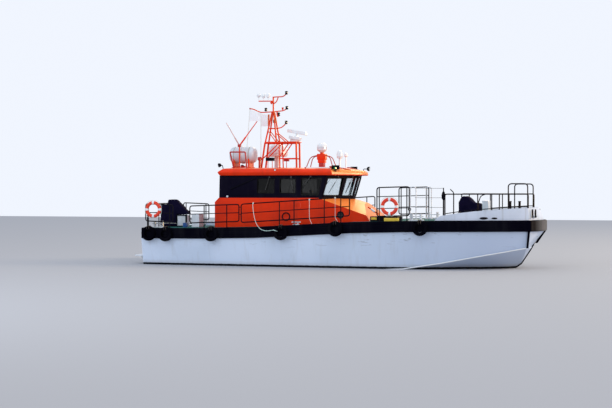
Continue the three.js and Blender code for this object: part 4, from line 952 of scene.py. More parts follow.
def railFrame(run):
    y = -run["y"]
    (x0, z0), (x1, z1) = run["aft"], run["fore"]
    fall = lambda x: z0 + (z1 - z0) * (x - x0) / (x1 - x0)
    low = run["depth"]
    parts = [pipe([(x0, y, z0 - low), (x0, y, z0), (x1, y, z1), (x1, y, z1 - low)], railSize["tube"], 12,
                  closed=True, bend=railSize["bend"], steps=6)]
    parts += [pipe([(x0, y, z0 - drop), (x1, y, z1 - drop)], railSize["bar"], 10) for drop in run["drops"]]
    for x in run["posts"]:
        parts.append(pipe([(x, y, deckAt(x, y) - 0.02), (x, y, fall(x))], railSize["post"], 12))
        parts.append(flange(x, y, deckAt(x, y)))
    return parts


def makeRails():
    clamps = [pipe([(-3.78, -2.31, z), (-3.62, -2.35, z)], 0.014, 8) for z in (2.25, 2.56)]
    longRail = joinAll(railFrame(railRuns["aft"]) + railFrame(railRuns["mid"]) + clamps)
    bothSides(longRail, "side_rail_tubes", "blackPaint", stands=["side_rail"])
    for name in ("fore", "stern"):
        frame = joinAll(railFrame(railRuns[name]))
        bothSides(frame, name + "_rail_tubes", "blackPaint", stands=[name + "_rail"])


transomRail = {"x": -8.24, "y": 1.9, "foot": 1.62, "top": 2.68, "bar": 2.28, "posts": (-0.65, 0.65)}


def makeTransomRail():
    x, y, foot, top = (transomRail[k] for k in ("x", "y", "foot", "top"))
    parts = [pipe([(x, -y, foot), (x, -y, top), (x, y, top), (x, y, foot)], railSize["tube"], 12, bend=0.14)]
    parts.append(pipe([(x, -y, transomRail["bar"]), (x, y, transomRail["bar"])], railSize["bar"], 10))
    for across in (-y, *transomRail["posts"], y):
        if abs(across) < y:
            parts.append(pipe([(x, across, foot), (x, across, top)], railSize["post"], 12))
        parts.append(flange(x, across, deckAt(x, across)))
    setDown(parts, "transom_rail_tubes", "blackPaint", stands=["rail_transom"])


# Bow rail on the bulwark: where the line bends, its x and the height of the bulwark's top
bowRailRows = [(5.19, 2.265), (5.81, 2.36), (6.4, 2.43), (7.55, 2.515), (8.13, 2.55), (8.47, 2.56)]
bowRailSize = {"top": 3.13, "base": 0.06, "posts": (5.54, 6.5, 7.05, 7.35), "hoop": 3.56, "hoopY": 1.19,
               "hoopX": (7.65, 8.44), "hoopFoot": 2.05}
bulwarkFeet = {8.13: 8.15, 8.47: 8.52}
bowRailLine = [(x, -(sheerAt(bulwarkFeet.get(x, x))[0] - 0.0265), z) for x, z in bowRailRows]


def onBowRail(x):
    (xa, ya, za), (xb, yb, zb) = next((a, b) for a, b in zip(bowRailLine, bowRailLine[1:]) if b[0] >= x)
    t = (x - xa) / (xb - xa)
    return x, ya + (yb - ya) * t, za + (zb - za) * t


def makeBowRail():
    top, base, hoop, hoopY, foot = (bowRailSize[k] for k in ("top", "base", "hoop", "hoopY", "hoopFoot"))
    above = [(x, y, top) for x, y, z in bowRailLine]
    ends = [(x, y, z - 0.005) for x, y, z in (bowRailLine[0], bowRailLine[-1])]
    posts = [onBowRail(x) for x in bowRailSize["posts"]]
    parts = [pipe([ends[0], *above, ends[1]], railSize["tube"], 12, bend=0.08)]
    parts.append(pipe([(x, y, z + base) for x, y, z in bowRailLine], railSize["bar"], 10, bend=0.1))
    parts += [pipe([(x, y, z - 0.005), (x, y, top)], railSize["post"], 12) for x, y, z in posts]
    shoe = [(0, 0), (0.034, 0), (0.034, 0.008), (0.023, 0.022), (0, 0.022)]
    parts += [turned(shoe, (x, y, z - 0.001), steps=16)
              for x, y, z in (bowRailLine[0], *posts, bowRailLine[-1])]
    aft, fore = bowRailSize["hoopX"]
    route = [(aft, -hoopY, foot), (aft, -hoopY, hoop), (fore, -hoopY, hoop), (fore, -hoopY, foot)]
    parts.append(pipe(route, railSize["tube"], 12, bend=0.15, steps=8))
    for x in (aft, fore):
        parts.append(flange(x, -hoopY, deckAt(x, hoopY)))
        parts.append(pipe([(x, -hoopY, top), (x, onBowRail(x)[1], top)], railSize["bar"], 10))
    bothSides(parts, "bow_rail_tubes", "blackPaint", stands=["bow_rail"])


makeRails()
makeTransomRail()
makeBowRail()
print("rails built")


roofFoot = 4.24  # posts start a little inside the roof
roofTop = {"z": 4.3, "fall": 0.00404, "aft": -4.65}

# Mast: braced legs under a platform, a tapering frame and a pole with its arms
mastSize = {"y": 0.25, "deck": 5.41, "aft": -3.26, "mid": -2.6, "fore": -1.8, "x": -2.95, "neck": 6.78,
            "peak": 7.49, "head": 0.06, "waist": 6.06}


def onMastLeg(foot, head, z):
    t = (z - mastSize["deck"]) / (mastSize["neck"] - mastSize["deck"])
    return foot + (head - foot) * t, mastSize["y"] + (mastSize["head"] - mastSize["y"]) * t, z


def aftMastLeg(z):
    return onMastLeg(mastSize["aft"] + 0.01, mastSize["x"] - 0.04, z)


def foreMastLeg(z):
    return onMastLeg(mastSize["mid"] - 0.12, mastSize["x"] + 0.04, z)


def makeMast():
    y, deck, aft, mid, fore = (mastSize[k] for k in ("y", "deck", "aft", "mid", "fore"))
    x, neck, peak, waist = (mastSize[k] for k in ("x", "neck", "peak", "waist"))
    # Columns: from, to, radius, for the port side
    rods = [
        ((aft - 0.16, y + 0.06, roofFoot), (aft, y, deck), 0.042),
        ((fore + 0.02, y, roofFoot), (fore, y, deck), 0.042),
        ((mid + 0.04, y, roofFoot), (mid, y, deck), 0.028),
        ((aft - 0.09, y + 0.034, 4.7), (mid - 0.02, y, deck - 0.03), 0.024),
        ((mid + 0.01, y, 4.75), (-2.15, y, deck - 0.03), 0.024),
        ((mid + 0.02, y, 4.7), (fore + 0.01, y, 4.7), 0.027),
        ((aft, y, deck), (fore, y, deck), 0.05),
        (aftMastLeg(deck), aftMastLeg(neck), 0.034),
        (foreMastLeg(deck), foreMastLeg(neck), 0.034),
        (aftMastLeg(5.95), foreMastLeg(deck), 0.021),
        (foreMastLeg(5.85), (-2.25, y, deck), 0.021),
    ]
    for leg in (aftMastLeg, foreMastLeg):
        legX, legY, legZ = leg(waist)
        rods.append(((legX, legY, legZ), (legX, 0, legZ), 0.026))
    parts = []
    for (ax, ay, az), (bx, by, bz), radius in rods:
        for side in (-1, 1):
            parts.append(pipe([(ax, side * ay, az), (bx, side * by, bz)], radius, 14))
    parts += [pipe([(px, -y, deck), (px, y, deck)], 0.036, 14) for px in (aft, mid, fore)]
    parts.append(pipe([(aftMastLeg(waist)[0], 0, waist), (foreMastLeg(waist)[0], 0, waist)], 0.027, 12))
    parts.append(block((-2.23, -0.26, deck + 0.01), (fore + 0.11, 0.26, deck + 0.045), 0.008))
    parts.append(pipe([(x, 0, neck - 0.08), (x, 0, peak)], 0.034, 16))
    collar = [(0, -0.04), (0.07, -0.04), (0.07, 0.04), (0.05, 0.06), (0, 0.06)]
    parts.append(turned(collar, (x, 0, neck), steps=20))
    shoe = [(0, -0.03), (0.075, -0.03), (0.075, 0.006), (0.04, 0.012), (0.036, 0.03), (0, 0.03)]
    for px, py in ((aft - 0.155, y + 0.058), (fore + 0.02, y), (mid + 0.04, y)):
        top = roofTop["z"] - roofTop["fall"] * (px - roofTop["aft"])
        parts += [turned(shoe, (px, side * py, top), steps=20) for side in (-1, 1)]
    setDown(parts, "mast_frame", "orangePaint", stands=["mast"])


mastArmRows = [
    [(-2.95, 0, 7.47), (-2.48, 0, 7.48), (-2.34, 0, 7.6)],
    [(-2.95, 0, 6.81), (-2.48, 0, 6.85), (-2.32, 0, 6.93)],
    [(-2.83, 0, 6.06), (-2.56, 0, 6.09), (-2.35, 0, 6.28)],
    [(-2.95, 0, 7.29), (-3.64, 0, 7.3)],
    [(-2.95, 0, 6.81), (-3.56, 0, 6.79), (-3.92, 0, 6.96), (-4.08, 0, 6.965)],
    [(-2.95, 0, 7.16), (-2.8, 0, 7.25), (-2.72, 0, 7.46)],
]
mastLampSpots = [(-2.335, 7.63), (-2.315, 6.96), (-2.345, 6.31), (-2.7, 6.68), (-2.9, 6.37), (-3.3, 6.9)]
lampCap = [(0, -0.06), (0.044, -0.06), (0.062, -0.042), (0.062, -0.004), (0, -0.004)]
lampLens = [(0, -0.004), (0.055, -0.004), (0.059, 0.014), (0.055, 0.046), (0, 0.046)]
lampHood = [(0, 0.046), (0.064, 0.046), (0.064, 0.074), (0.042, 0.092), (0, 0.095)]


def makeMastArms():
    arms = [pipe(route, 0.024, 12, bend=0.12) for route in mastArmRows]
    setDown(arms, "mast_arms", "orangePaint")
    for number, (x, z) in enumerate(mastLampSpots, 1):
        cap, lens, hood = (turned(profile, (x, 0, z), steps=24) for profile in (lampCap, lampLens, lampHood))
        setDown([cap, hood], "mast_lamp_body_%d" % number, "blackPaint")
        setDown(lens, "mast_lamp_lens_%d" % number, "screenGlass", "white_plastic")


halyardLines = [((-4.06, 0, 6.963), (-4.06, -0.64, 4.2)), ((-3.54, 0, 6.79), (-3.54, 0, 4.26))]


def makeHalyards():
    lines = []
    for head, foot in halyardLines:
        for gap in (-0.012, 0.012):
            shift = Vector((gap, 0, 0))
            lines.append(pipe([Vector(head) + shift, Vector(foot) + shift], 0.006, 6))
    setDown(lines, "halyards", "ropeWhite")


makeMast()
makeMastArms()
makeHalyards()
print("mast built")


# Roof gear: radar bar, raft, tube frame, aerials, searchlight and domes
radarFacts = {"x": -1.9, "z": 5.49, "tilt": 10, "turn": -36, "length": 1.35}


def makeRadar():
    half = radarFacts["length"] / 2
    section = [(-0.075, 0.338), (-0.062, 0.32), (0.062, 0.32), (0.075, 0.338), (0.066, 0.45), (0.05, 0.47),
               (-0.05, 0.47), (-0.066, 0.45)]
    middle = 0.395
    rings = []
    for x, share in ((-half, 0.72), (-half + 0.012, 0.92), (-half + 0.035, 1.0), (half - 0.035, 1.0),
                     (half - 0.012, 0.92), (half, 0.72)):
        rings.append([(x, y * share, middle + (z - middle) * share) for y, z in section])
    neck = [(0, 0.2508), (0.06, 0.2508), (0.06, 0.262), (0.048, 0.275), (0.048, 0.305), (0.075, 0.325),
            (0, 0.325)]
    lean = Matrix.Rotation(math.radians(radarFacts["tilt"]), 4, "Y")
    turn = Matrix.Rotation(math.radians(radarFacts["turn"]), 4, "Z")
    scanner = joinAll([lofted(rings), turned(neck, steps=32)])
    scanner.data.transform(Matrix.Translation((radarFacts["x"], 0, radarFacts["z"])) @ lean @ turn)
    setDown(scanner, "radar_scanner_bar", "whitePlastic", body="scanner",
            stands=["radar_scanner"])


raftFacts = {"x": -4.37, "z": 4.88, "radius": 0.37, "half": 0.6, "straps": (-0.35, 0.35)}


def makeRaft():
    radius, half, spot = raftFacts["radius"], raftFacts["half"], (raftFacts["x"], 0, raftFacts["z"])
    neck = radius * 0.62
    profile = [(0, -half), (radius * 0.5, -half), (neck, -half + 0.012)]
    for k in range(7):
        angle = math.radians(90 * k / 6)
        profile.append((neck + radius * 0.38 * math.sin(angle), -half + 0.2 - 0.188 * math.cos(angle)))
    profile += [(radius, -0.325), (radius + 0.008, -0.312), (radius + 0.008, -0.288), (radius, -0.275)]
    profile += [(radius, -0.06), (radius + 0.022, -0.045), (radius + 0.022, -0.006), (radius + 0.014, 0.0)]
    profile += [(r, -h) for r, h in reversed(profile[:-1])]
    shell = turned(profile, spot, (1, 0, 0), 64)
    setDown(shell, "liferaft_canister", "raftPlastic", stands=["liferaft"])
    band = [(radius + 0.001, -0.024), (radius + 0.006, -0.024), (radius + 0.006, 0.024),
            (radius + 0.001, 0.024), (radius + 0.001, -0.024)]
    bands = [turned(band, (spot[0] + dx, 0, spot[2]), (1, 0, 0), 64) for dx in raftFacts["straps"]]
    setDown(bands, "liferaft_straps", "webbing")


roofFrameFacts = {"y": -1.18, "corners": [(-3.78, 4.22), (-3.895, 4.98), (-4.61, 4.985), (-4.4, 4.22)]}


def makeRoofFrame():
    y = roofFrameFacts["y"]
    corners = [(x, y if z < 4.5 else y + 0.06, z) for x, z in roofFrameFacts["corners"]]
    parts = [pipe(corners, 0.031, 14, bend=0.05)]
    parts.append(pipe([(-4.44, y + 0.011, 4.35), (-3.8, y + 0.011, 4.35)], 0.018, 12))
    shoe = [(0, -0.02), (0.055, -0.02), (0.055, 0.008), (0.028, 0.02), (0, 0.02)]
    parts += [turned(shoe, (x, y, 4.262), steps=20) for x in (-3.782, -4.405)]
    setDown(parts, "roof_frame_tubes", "redPaint", stands=["roof_frame"])


forkFacts = {"x": -4.405, "y": -0.44, "z": 5.29, "aftTip": (-5.04, 6.33), "foreTip": (-3.56, 6.38)}


def makeAerialFork():
    x, y, z = forkFacts["x"], forkFacts["y"], forkFacts["z"]
    post = pipe([(x, y, roofFoot), (x, y, z + 0.04)], 0.03, 16)
    knob = block((x - 0.07, y - 0.06, z - 0.06), (x + 0.07, y + 0.06, z + 0.06), 0.015, 3)
    setDown(post, "aerial_fork_post", "orangePaint", stands=["aerial_fork"])
    setDown(knob, "aerial_fork_knob", "redPaint")
    for name, (tipX, tipZ), thick, finish in (
        ("aerial_whip_aft", forkFacts["aftTip"], 0.029, "rosePlastic"),
        ("aerial_whip_fore", forkFacts["foreTip"], 0.034, "orangePaint"),
    ):
        reach = Vector((tipX, y, tipZ)) - Vector((x, y, z))
        long = reach.length
        rows = [(0, 0), (thick, 0), (thick, long * 0.35), (thick * 0.7, long * 0.36),
                (thick * 0.55, long * 0.97), (thick * 0.3, long), (0, long)]
        setDown(turned(rows, (x, y, z), reach, 16), name, finish)


lampFacts = {"x": -0.68, "z": 4.64, "aftHoop": (-0.15, -0.48, -0.65), "foreHoop": (0.15, 0.42, 0.6)}


def makeSearchlight():
    x, z = lampFacts["x"], lampFacts["z"]
    upper = [block((x - 0.19, -0.17, z), (x + 0.19, 0.17, z + 0.26), 0.012, 3)]
    collar = [(0, 0.25), (0.09, 0.25), (0.09, 0.32), (0.082, 0.33), (0, 0.33)]
    upper.append(turned(collar, (x, 0, z), steps=32))
    upper.append(block((x - 0.16, -0.14, 4.5), (x + 0.16, 0.14, z + 0.01), 0.01))
    setDown(upper, "searchlight_stand", "orangePaint", "red_paint", stands=["searchlight_pedestal"])
    lower = block((x - 0.12, -0.12, roofFoot), (x + 0.12, 0.12, 4.505), 0.012, 3)
    setDown(lower, "searchlight_base", "redPaint")
    hoops = []
    for side in (-1, 1):
        for headX, elbowX, footX in (lampFacts["aftHoop"], lampFacts["foreHoop"]):
            route = [(x + headX, side * 0.12, z + 0.2), (x + elbowX, side * 0.2, z + 0.12),
                     (x + footX, side * 0.33, roofFoot)]
            hoops.append(pipe(route, 0.02, 12, bend=0.2, steps=8))
    setDown(hoops, "searchlight_hoops", "redPaint")
    base = z + 0.3308
    dome = [(0, 0), (0.11, 0), (0.118, 0.01), (0.15, 0.04), (0.205, 0.08), (0.218, 0.1), (0.223, 0.15),
            (0.225, 0.25), (0.212, 0.3), (0.18, 0.355), (0.12, 0.398), (0.06, 0.415), (0, 0.42)]
    housing = turned(dome, (x, 0, base), steps=48)
    setDown(housing, "searchlight_dome", "whitePlastic", body="lamp", stands=["searchlight"])
    ring = [(0.2235, 0.165), (0.2265, 0.168), (0.2265, 0.232), (0.2245, 0.235), (0.2235, 0.165)]
    setDown(turned(ring, (x, 0, base), steps=48), "searchlight_band", "clearLens", "window_glass", "lamp")


# Columns: node, centre and foot, radius, height, stem radius, stem depth
domeRows = [
    ("satellite_dome", (-3.06, 0.95, 4.83), 0.5, 0.57, 0.14, 0.57),
    ("aerial_dome", (0.26, -0.48, 4.69), 0.14, 0.35, 0.045, 0.43),
]


def makeDomes():
    for node, centre, radius, height, stem, depth in domeRows:
        skirt = radius * 0.985
        profile = [(0, -depth), (stem, -depth), (stem, -0.004), (radius * 0.8, -0.004), (radius * 0.9, 0.012),
                   (radius * 0.96, height * 0.2), (radius, height * 0.22), (radius, height * 0.26),
                   (skirt, height * 0.27)]
        for k in range(1, 8):
            angle = math.radians(90 * k / 8)
            profile.append((skirt * math.cos(angle) ** 0.8, height * (0.3 + 0.7 * math.sin(angle))))
        profile.append((0, height))
        setDown(turned(profile, centre, steps=48), node + "_shell", "whitePlastic",
                stands=[node])


makeRadar()
makeRaft()
makeRoofFrame()
makeAerialFork()
makeSearchlight()
makeDomes()
print("roof gear built")


# Window band: its plan low and high, and the openings
bandPlan = [((-4.905, 1.7), (-4.895, 1.665)), ((-0.27, 1.7), (0.01, 1.665)), ((0.8, 0.225), (1.075, 0.29))]
bandHeights = (2.96, 3.9297)
# Columns: aft, fore, low, high, lean of the fore edge
sideWindowRows = [(-3.14, -2.36, 3.16, 3.8, 0.0), (-2.11, -1.39, 3.16, 3.8, 0.0),
                  (-1.14, -0.37, 3.06, 3.83, 0.15)]
frontPane = {"low": 3.05, "high": 3.84, "share": 0.585, "post": 0.065, "corner": 0.095, "nose": 0.06}
aftPane = {"near": 0.56, "end": 1.42, "low": 3.12, "high": 3.82}


def bandCorner(number, z):
    (lowX, lowY), (highX, highY) = bandPlan[number]
    t = (z - bandHeights[0]) / (bandHeights[1] - bandHeights[0])
    return Vector((lowX + (highX - lowX) * t, -lowY - (highY - lowY) * t, z))


def onSide(x, z, out=0.0):
    return Vector((x, bandCorner(0, z).y - out, z))


def onFront(distance, z, out=0.0):
    near, far = bandCorner(1, z), bandCorner(2, z)
    along = (far - near).normalized()
    return near + along * distance + Vector((along.y, -along.x, 0)) * out


def frontCorners(pane):
    rows = []
    for z in (frontPane["low"], frontPane["high"]):
        length = (bandCorner(2, z) - bandCorner(1, z)).length
        middle, post = length * frontPane["share"], frontPane["post"]
        ends = (middle + post, length - frontPane["nose"]) if pane else (frontPane["corner"], middle - post)
        rows.append([onFront(distance, z, 0.004) for distance in ends])
    return [*rows[0], *reversed(rows[1])]


def makeSeals():
    corners = []
    for aft, fore, low, high, lean in sideWindowRows:
        corners.append([onSide(x, z) for x, z in ((aft, low), (fore, low), (fore + lean, high), (aft, high))])
    corners += [frontCorners(0), frontCorners(1)]
    low, high = aftPane["low"], aftPane["high"]
    spots = ((aftPane["near"], low), (aftPane["end"], low), (aftPane["end"], high), (aftPane["near"], high))
    corners.append([(bandCorner(0, z).x, -y, z) for y, z in spots])
    seals = [pipe(corner, 0.016, 10, closed=True, bend=0.05, steps=4) for corner in corners]
    bothSides(seals, "window_seals", "softRubber")
    nose = [bandCorner(2, z) + Vector((0.004, 0.05, 0)) for z in (frontPane["low"], frontPane["high"])]
    across = [*nose, *(Vector((p.x, -p.y, p.z)) for p in reversed(nose))]
    seal = pipe(across, 0.014, 10, closed=True, bend=0.04, steps=4)
    setDown(seal, "window_seal_nose", "softRubber")


# Wipers: the wall's place function, pivot, tip
wiperRows = [
    (onSide, (-2.58, 3.865), (-2.84, 3.02)), (onSide, (-1.6, 3.865), (-1.48, 3.07)),
    (onSide, (-0.72, 3.88), (-1.1, 3.35)), (onFront, (0.62, 3.885), (0.36, 3.16)),
    (onFront, (1.42, 3.885), (1.3, 3.16)),
]


wiperSize = {"bend": 0.34, "shoe": 0.66, "arm": 0.006, "blade": 0.01, "out": 0.045, "armOut": 0.042,
             "shoeOut": 0.022, "bladeOut": 0.018}


def makeWipers():
    arms, blades = [], []
    shoe, bend, out = wiperSize["shoe"], wiperSize["bend"], wiperSize["out"]
    for place, (s0, z0), (s1, z1) in wiperRows:
        middle = (s0 + (s1 - s0) * shoe, z0 + (z1 - z0) * shoe)
        start = (s0 + (s1 - s0) * bend, z0 + (z1 - z0) * bend)
        low = place(s0, z0, 0.0)
        route = [low, place(s0, z0, out), place(*middle, wiperSize["armOut"]),
                 place(*middle, wiperSize["shoeOut"])]
        arms.append(pipe(route, wiperSize["arm"], 8, bend=0.02))
        arms.append(block(low - Vector((0.03, 0.025, 0.03)), low + Vector((0.03, 0.005, 0.03)), 0.006))
        ends = [place(*start, wiperSize["bladeOut"]), place(s1, z1, wiperSize["bladeOut"])]
        blades.append(pipe(ends, wiperSize["blade"], 8))
    bothSides(arms, "wiper_arms", "cabinGrey", "steel")
    bothSides(blades, "wiper_blades", "softRubber", "rubber")


# Blank panel aft of the windows, with its slanting bar
blankPanel = {"outline": [(-4.72, 0.09), (-3.27, 0.09), (-3.27, 0.88), (-4.72, 0.88)],
              "bar": ((-4.35, 3.34), (-3.24, 3.8))}


def makeBlankPanel():
    (x0, z0), (x1, z1) = blankPanel["bar"]
    foot = bandHeights[0]
    lean = (bandCorner(0, 3.93).y - bandCorner(0, foot).y) / 0.97
    outline = roundedOutline(blankPanel["outline"], 0.07)
    sheet = plate([outline], 0.01, (0, bandCorner(0, foot).y, foot), (1, 0, 0), (0, lean, 1), 0.003)
    bothSides(sheet, "blank_panel", "navyPanel")
    bar = pipe([onSide(x0, z0, 0.026), onSide(x1, z1, 0.026)], 0.024, 12)
    bothSides(bar, "blank_panel_bar", "blackPaint")


makeSeals()
makeWipers()
makeBlankPanel()


# Round lamps: name, centre, way it looks, radius, depth, body finish, lens finish, whether on both sides
lampRows = [
    ("roof_side_lamp", (-2.3, -1.755, 4.165), (0, -1, 0.5), 0.055, 0.05, "blackPaint", "clearLens", True),
    ("eaves_lamp", (-0.78, -1.8, 3.985), (0, -1, -0.2), 0.06, 0.07, "blackPaint", "screenGlass", True),
    ("house_corner_lamp", (-4.51, -1.73, 3.02), (0, -1, 0), 0.045, 0.06, "whitePaint", "clearLens", True),
    ("fore_floodlight", (1.37, 0.42, 4.23), (1, 0, -0.1), 0.1, 0.1, "blackPaint", "clearLens", False),
    ("aft_floodlight", (-4.99, -1.5, 4.39), (-1, 0, -0.2), 0.09, 0.1, "blackPaint", "clearLens", True),
    ("mast_lamp_low", (-2.51, 0, 6.985), (0, 0, 1), 0.045, 0.09, "orangePaint", "clearLens", False),
    ("mast_horn", (-3.06, 0, 7.2), (-0.6, 0, -0.4), 0.055, 0.16, "orangePaint", "blackPaint", False),
    ("mast_horn_low", (-2.72, 0, 6.6), (0.3, 0, -1), 0.055, 0.2, "orangePaint", "blackPaint", False),
]


def makeLamp(centre, way, radius, depth):
    case = [(0, -depth), (radius * 0.6, -depth), (radius * 0.9, -depth * 0.6), (radius, -0.012),
            (radius, 0.012), (radius * 0.88, 0.012), (radius * 0.86, 0.0), (0, 0.0)]
    lens = [(0, 0.001), (radius * 0.85, 0.001), (radius * 0.7, 0.01), (0, 0.016)]
    return turned(case, centre, way, 28), turned(lens, centre, way, 28)


def makeLamps():
    for name, centre, way, radius, depth, caseFinish, lensFinish, paired in lampRows:
        lay = bothSides if paired else setDown
        case, lens = makeLamp(centre, way, radius, depth)
        lay(case, name + "_case", caseFinish, "black_paint" if caseFinish == "blackPaint" else "orange_paint")
        lay(lens, name + "_lens", lensFinish, "white_plastic")
    foot = pipe([(1.1, 0.42, 4.12), (1.12, 0.42, 4.23), (1.3, 0.42, 4.23)], 0.016, 8, bend=0.03)
    setDown(foot, "fore_floodlight_foot", "blackPaint")
    foot = pipe([(-4.78, -1.5, 4.2), (-4.82, -1.5, 4.39), (-4.95, -1.5, 4.39)], 0.018, 8, bend=0.04)
    bothSides(foot, "aft_floodlight_foot", "blackPaint")
    stems = [pipe([(-2.51, 0, 6.85), (-2.51, 0, 6.91)], 0.012, 8),
             pipe([(-2.95, 0, 7.22), (-3.04, 0, 7.21)], 0.012, 8)]
    stems.append(pipe([(-2.78, 0, 6.82), (-2.78, 0, 6.74), (-2.74, 0, 6.7)], 0.012, 8, bend=0.03))
    setDown(stems, "mast_lamp_stems", "orangePaint")


# Side lights on the roof's edge: a dark screen, a housing and a coloured lens
def makeSideLights():
    screen = [block((0.22, -1.6, 4.17), (0.54, -1.575, 4.36), 0.005),
              block((0.22, -1.72, 4.15), (0.25, -1.58, 4.34), 0.004)]
    screen.append(block((0.22, -1.72, 4.135), (0.54, -1.58, 4.155), 0.004))
    cap = [(0, -0.075), (0.055, -0.075), (0.055, -0.05), (0.046, -0.045), (0.046, 0.045), (0.055, 0.05),
           (0.05, 0.072), (0, 0.078)]
    core = turned(cap, (0.37, -1.655, 4.235), steps=24)
    bothSides([*screen, core], "side_light_screen", "blackPaint")
    for side, finish in ((-1, "greenLens"), (1, "redLens")):
        lens = turned([(0.047, -0.044), (0.053, -0.04), (0.053, 0.04), (0.047, 0.044), (0.047, -0.044)],
                      (0.37, side * 1.655, 4.235), steps=28)
        name = "side_light_lens_" + ("starboard" if side < 0 else "port")
        setDown(lens, name, finish)


# Gear on the roof and mast: profiles of the turned ones, then the pieces on one side and those on both
ventProfile = [(0, 0), (0.055, 0), (0.055, 0.34), (0.095, 0.37), (0.095, 0.46), (0.07, 0.5), (0, 0.51)]
potProfile = [(0, -0.3), (0.022, -0.3), (0.022, 0.3), (0.085, 0.32), (0.09, 0.4), (0.06, 0.46), (0, 0.48)]
ovalProfile = [(0, -0.25), (0.012, -0.25), (0.012, -0.1), (0.06, -0.09), (0.085, -0.03), (0.085, 0.05),
               (0.055, 0.1), (0, 0.11)]
upward = (0, 0, 1)
roofRows = [
    ("roof_speaker", "blackPaint", None, block, ((-3.2, -0.36, 4.6), (-2.84, -0.14, 4.75), 0.015, 3)),
    ("roof_junction_box", "redPaint", None, block, ((-2.4, -0.2, 4.58), (-2.18, -0.04, 4.73), 0.012, 3)),
    ("yard_block", "blackPaint", None, block, ((-4.085, -0.02, 6.955), (-4.035, 0.02, 7.005), 0.006, 3)),
    ("roof_vent", "redPaint", None, turned, (ventProfile, (-3.42, -0.52, 4.27), upward, 28)),
    ("position_aerial", "whitePlastic", None, turned, (potProfile, (0.26, 0.6, 4.48), upward, 28)),
]
handRail = [(0.06, -1.52, 4.18), (0.08, -1.5, 4.31), (0.22, -1.38, 4.31), (0.86, -0.86, 4.16)]
pairedRoofRows = [
    ("roof_hand_rail", "redPaint", None, pipe, (handRail, 0.026, 10, False, 0.05)),
    ("roof_light_bar", "whitePlastic", None, block, ((-1.0, -1.545, 4.235), (0.14, -1.465, 4.285), 0.012, 3)),
]
barEnds = {"x": (-1.03, 0.1), "length": 0.07, "y": (-1.55, -1.46), "z": (4.23, 4.29)}
ballAerial = {"radius": 0.095, "stem": 0.014, "foot": -0.29, "spot": (-3.64, 0, 7.56)}


def makeRoofGear():
    layRows(roofRows)
    layRows(pairedRoofRows, bothSides)
    feet = [pipe([(x, y, 4.25), (x, y, 4.62)], 0.016, 10)
            for x, y in ((-3.12, -0.25), (-2.92, -0.25), (-2.29, -0.12))]
    setDown(feet, "roof_gear_feet", "orangePaint")
    radius, stem, foot = (ballAerial[k] for k in ("radius", "stem", "foot"))
    ball = [(0, foot), (stem, foot), (stem, -0.075)]
    ball += [(radius * math.cos(math.radians(a)), radius * math.sin(math.radians(a)))
             for a in range(-80, 90, 14)]
    heads = [turned([*ball, (0, radius)], ballAerial["spot"], steps=28)]
    heads += [turned(ovalProfile, (x, 0, 7.53), steps=28) for x in (-3.42, -3.19)]
    setDown(heads, "mast_aerials", "whitePlastic")
    (y0, y1), (z0, z1), length = barEnds["y"], barEnds["z"], barEnds["length"]
    tips = [block((x, y0, z0), (x + length, y1, z1), 0.008) for x in barEnds["x"]]
    bothSides(tips, "roof_light_bar_ends", "redPaint")


makeLamps()
makeSideLights()
makeRoofGear()
print("roof fittings built")


# Ports in the house side: name, x, z, rim, opening, the cover's finish
houseSide = -1.72
portRows = [("port_light_aft", -1.81, 2.15, 0.19, 0.14, "orangePaint"),
            ("port_light_fore", 0.62, 2.24, 0.155, 0.115, "screenGlass")]


def makePorts():
    for name, x, z, rim, hole, finish in portRows:
        ring = [(hole, -0.01), (rim, -0.01), (rim, 0.014), (rim - 0.012, 0.026), (hole + 0.01, 0.026),
                (hole, 0.018), (hole, -0.01)]
        parts = [turned(ring, (x, houseSide, z), (0, -1, 0), 48)]
        for k in range(8):
            angle = math.pi * (k + 0.5) / 4
            reach = (rim + hole) / 2
            nut = [(0, 0), (0.01, 0), (0.01, 0.007), (0.006, 0.01), (0, 0.01)]
            spot = (x + reach * math.cos(angle), houseSide - 0.025, z + reach * math.sin(angle))
            parts.append(turned(nut, spot, (0, -1, 0), 10))
        bothSides(parts, name + "_rim", "blackPaint")
        dish = [(0, 0.004), (hole * 0.92, 0.004), (hole + 0.004, 0.01), (hole + 0.004, -0.005), (0, -0.005)]
        bothSides(turned(dish, (x, houseSide, z), (0, -1, 0), 40), name + "_cover", finish, "orange_paint")


# Helm: screens, wheel, levers, and two seats whose cushions are blown up by a cloth run
helmSize = {"seat": (-0.7, -0.6), "wheel": (0.045, -0.6, 2.6)}


def puffed(obj, voxel, cap, pressure=4.0):
    applyModifier(obj, "REMESH", mode="VOXEL", voxel_size=voxel)
    start = [v.co.copy() for v in obj.data.vertices]
    pick(obj)
    cloth = obj.modifiers.new("Cloth", "CLOTH")
    cloth.settings.use_pressure = True
    cloth.settings.uniform_pressure_force = pressure
    cloth.settings.effector_weights.gravity = 0
    for moment in range(1, 21):
        bpy.context.scene.frame_set(moment)
    bpy.ops.object.modifier_apply(modifier=cloth.name)
    bpy.context.scene.frame_set(1)
    for vertex, spot in zip(obj.data.vertices, start):
        step = vertex.co - spot
        vertex.co = spot + step * min(1.0, cap / max(step.length, 1e-9))
    applyModifier(obj, "SUBSURF", levels=1, render_levels=1)
    return obj


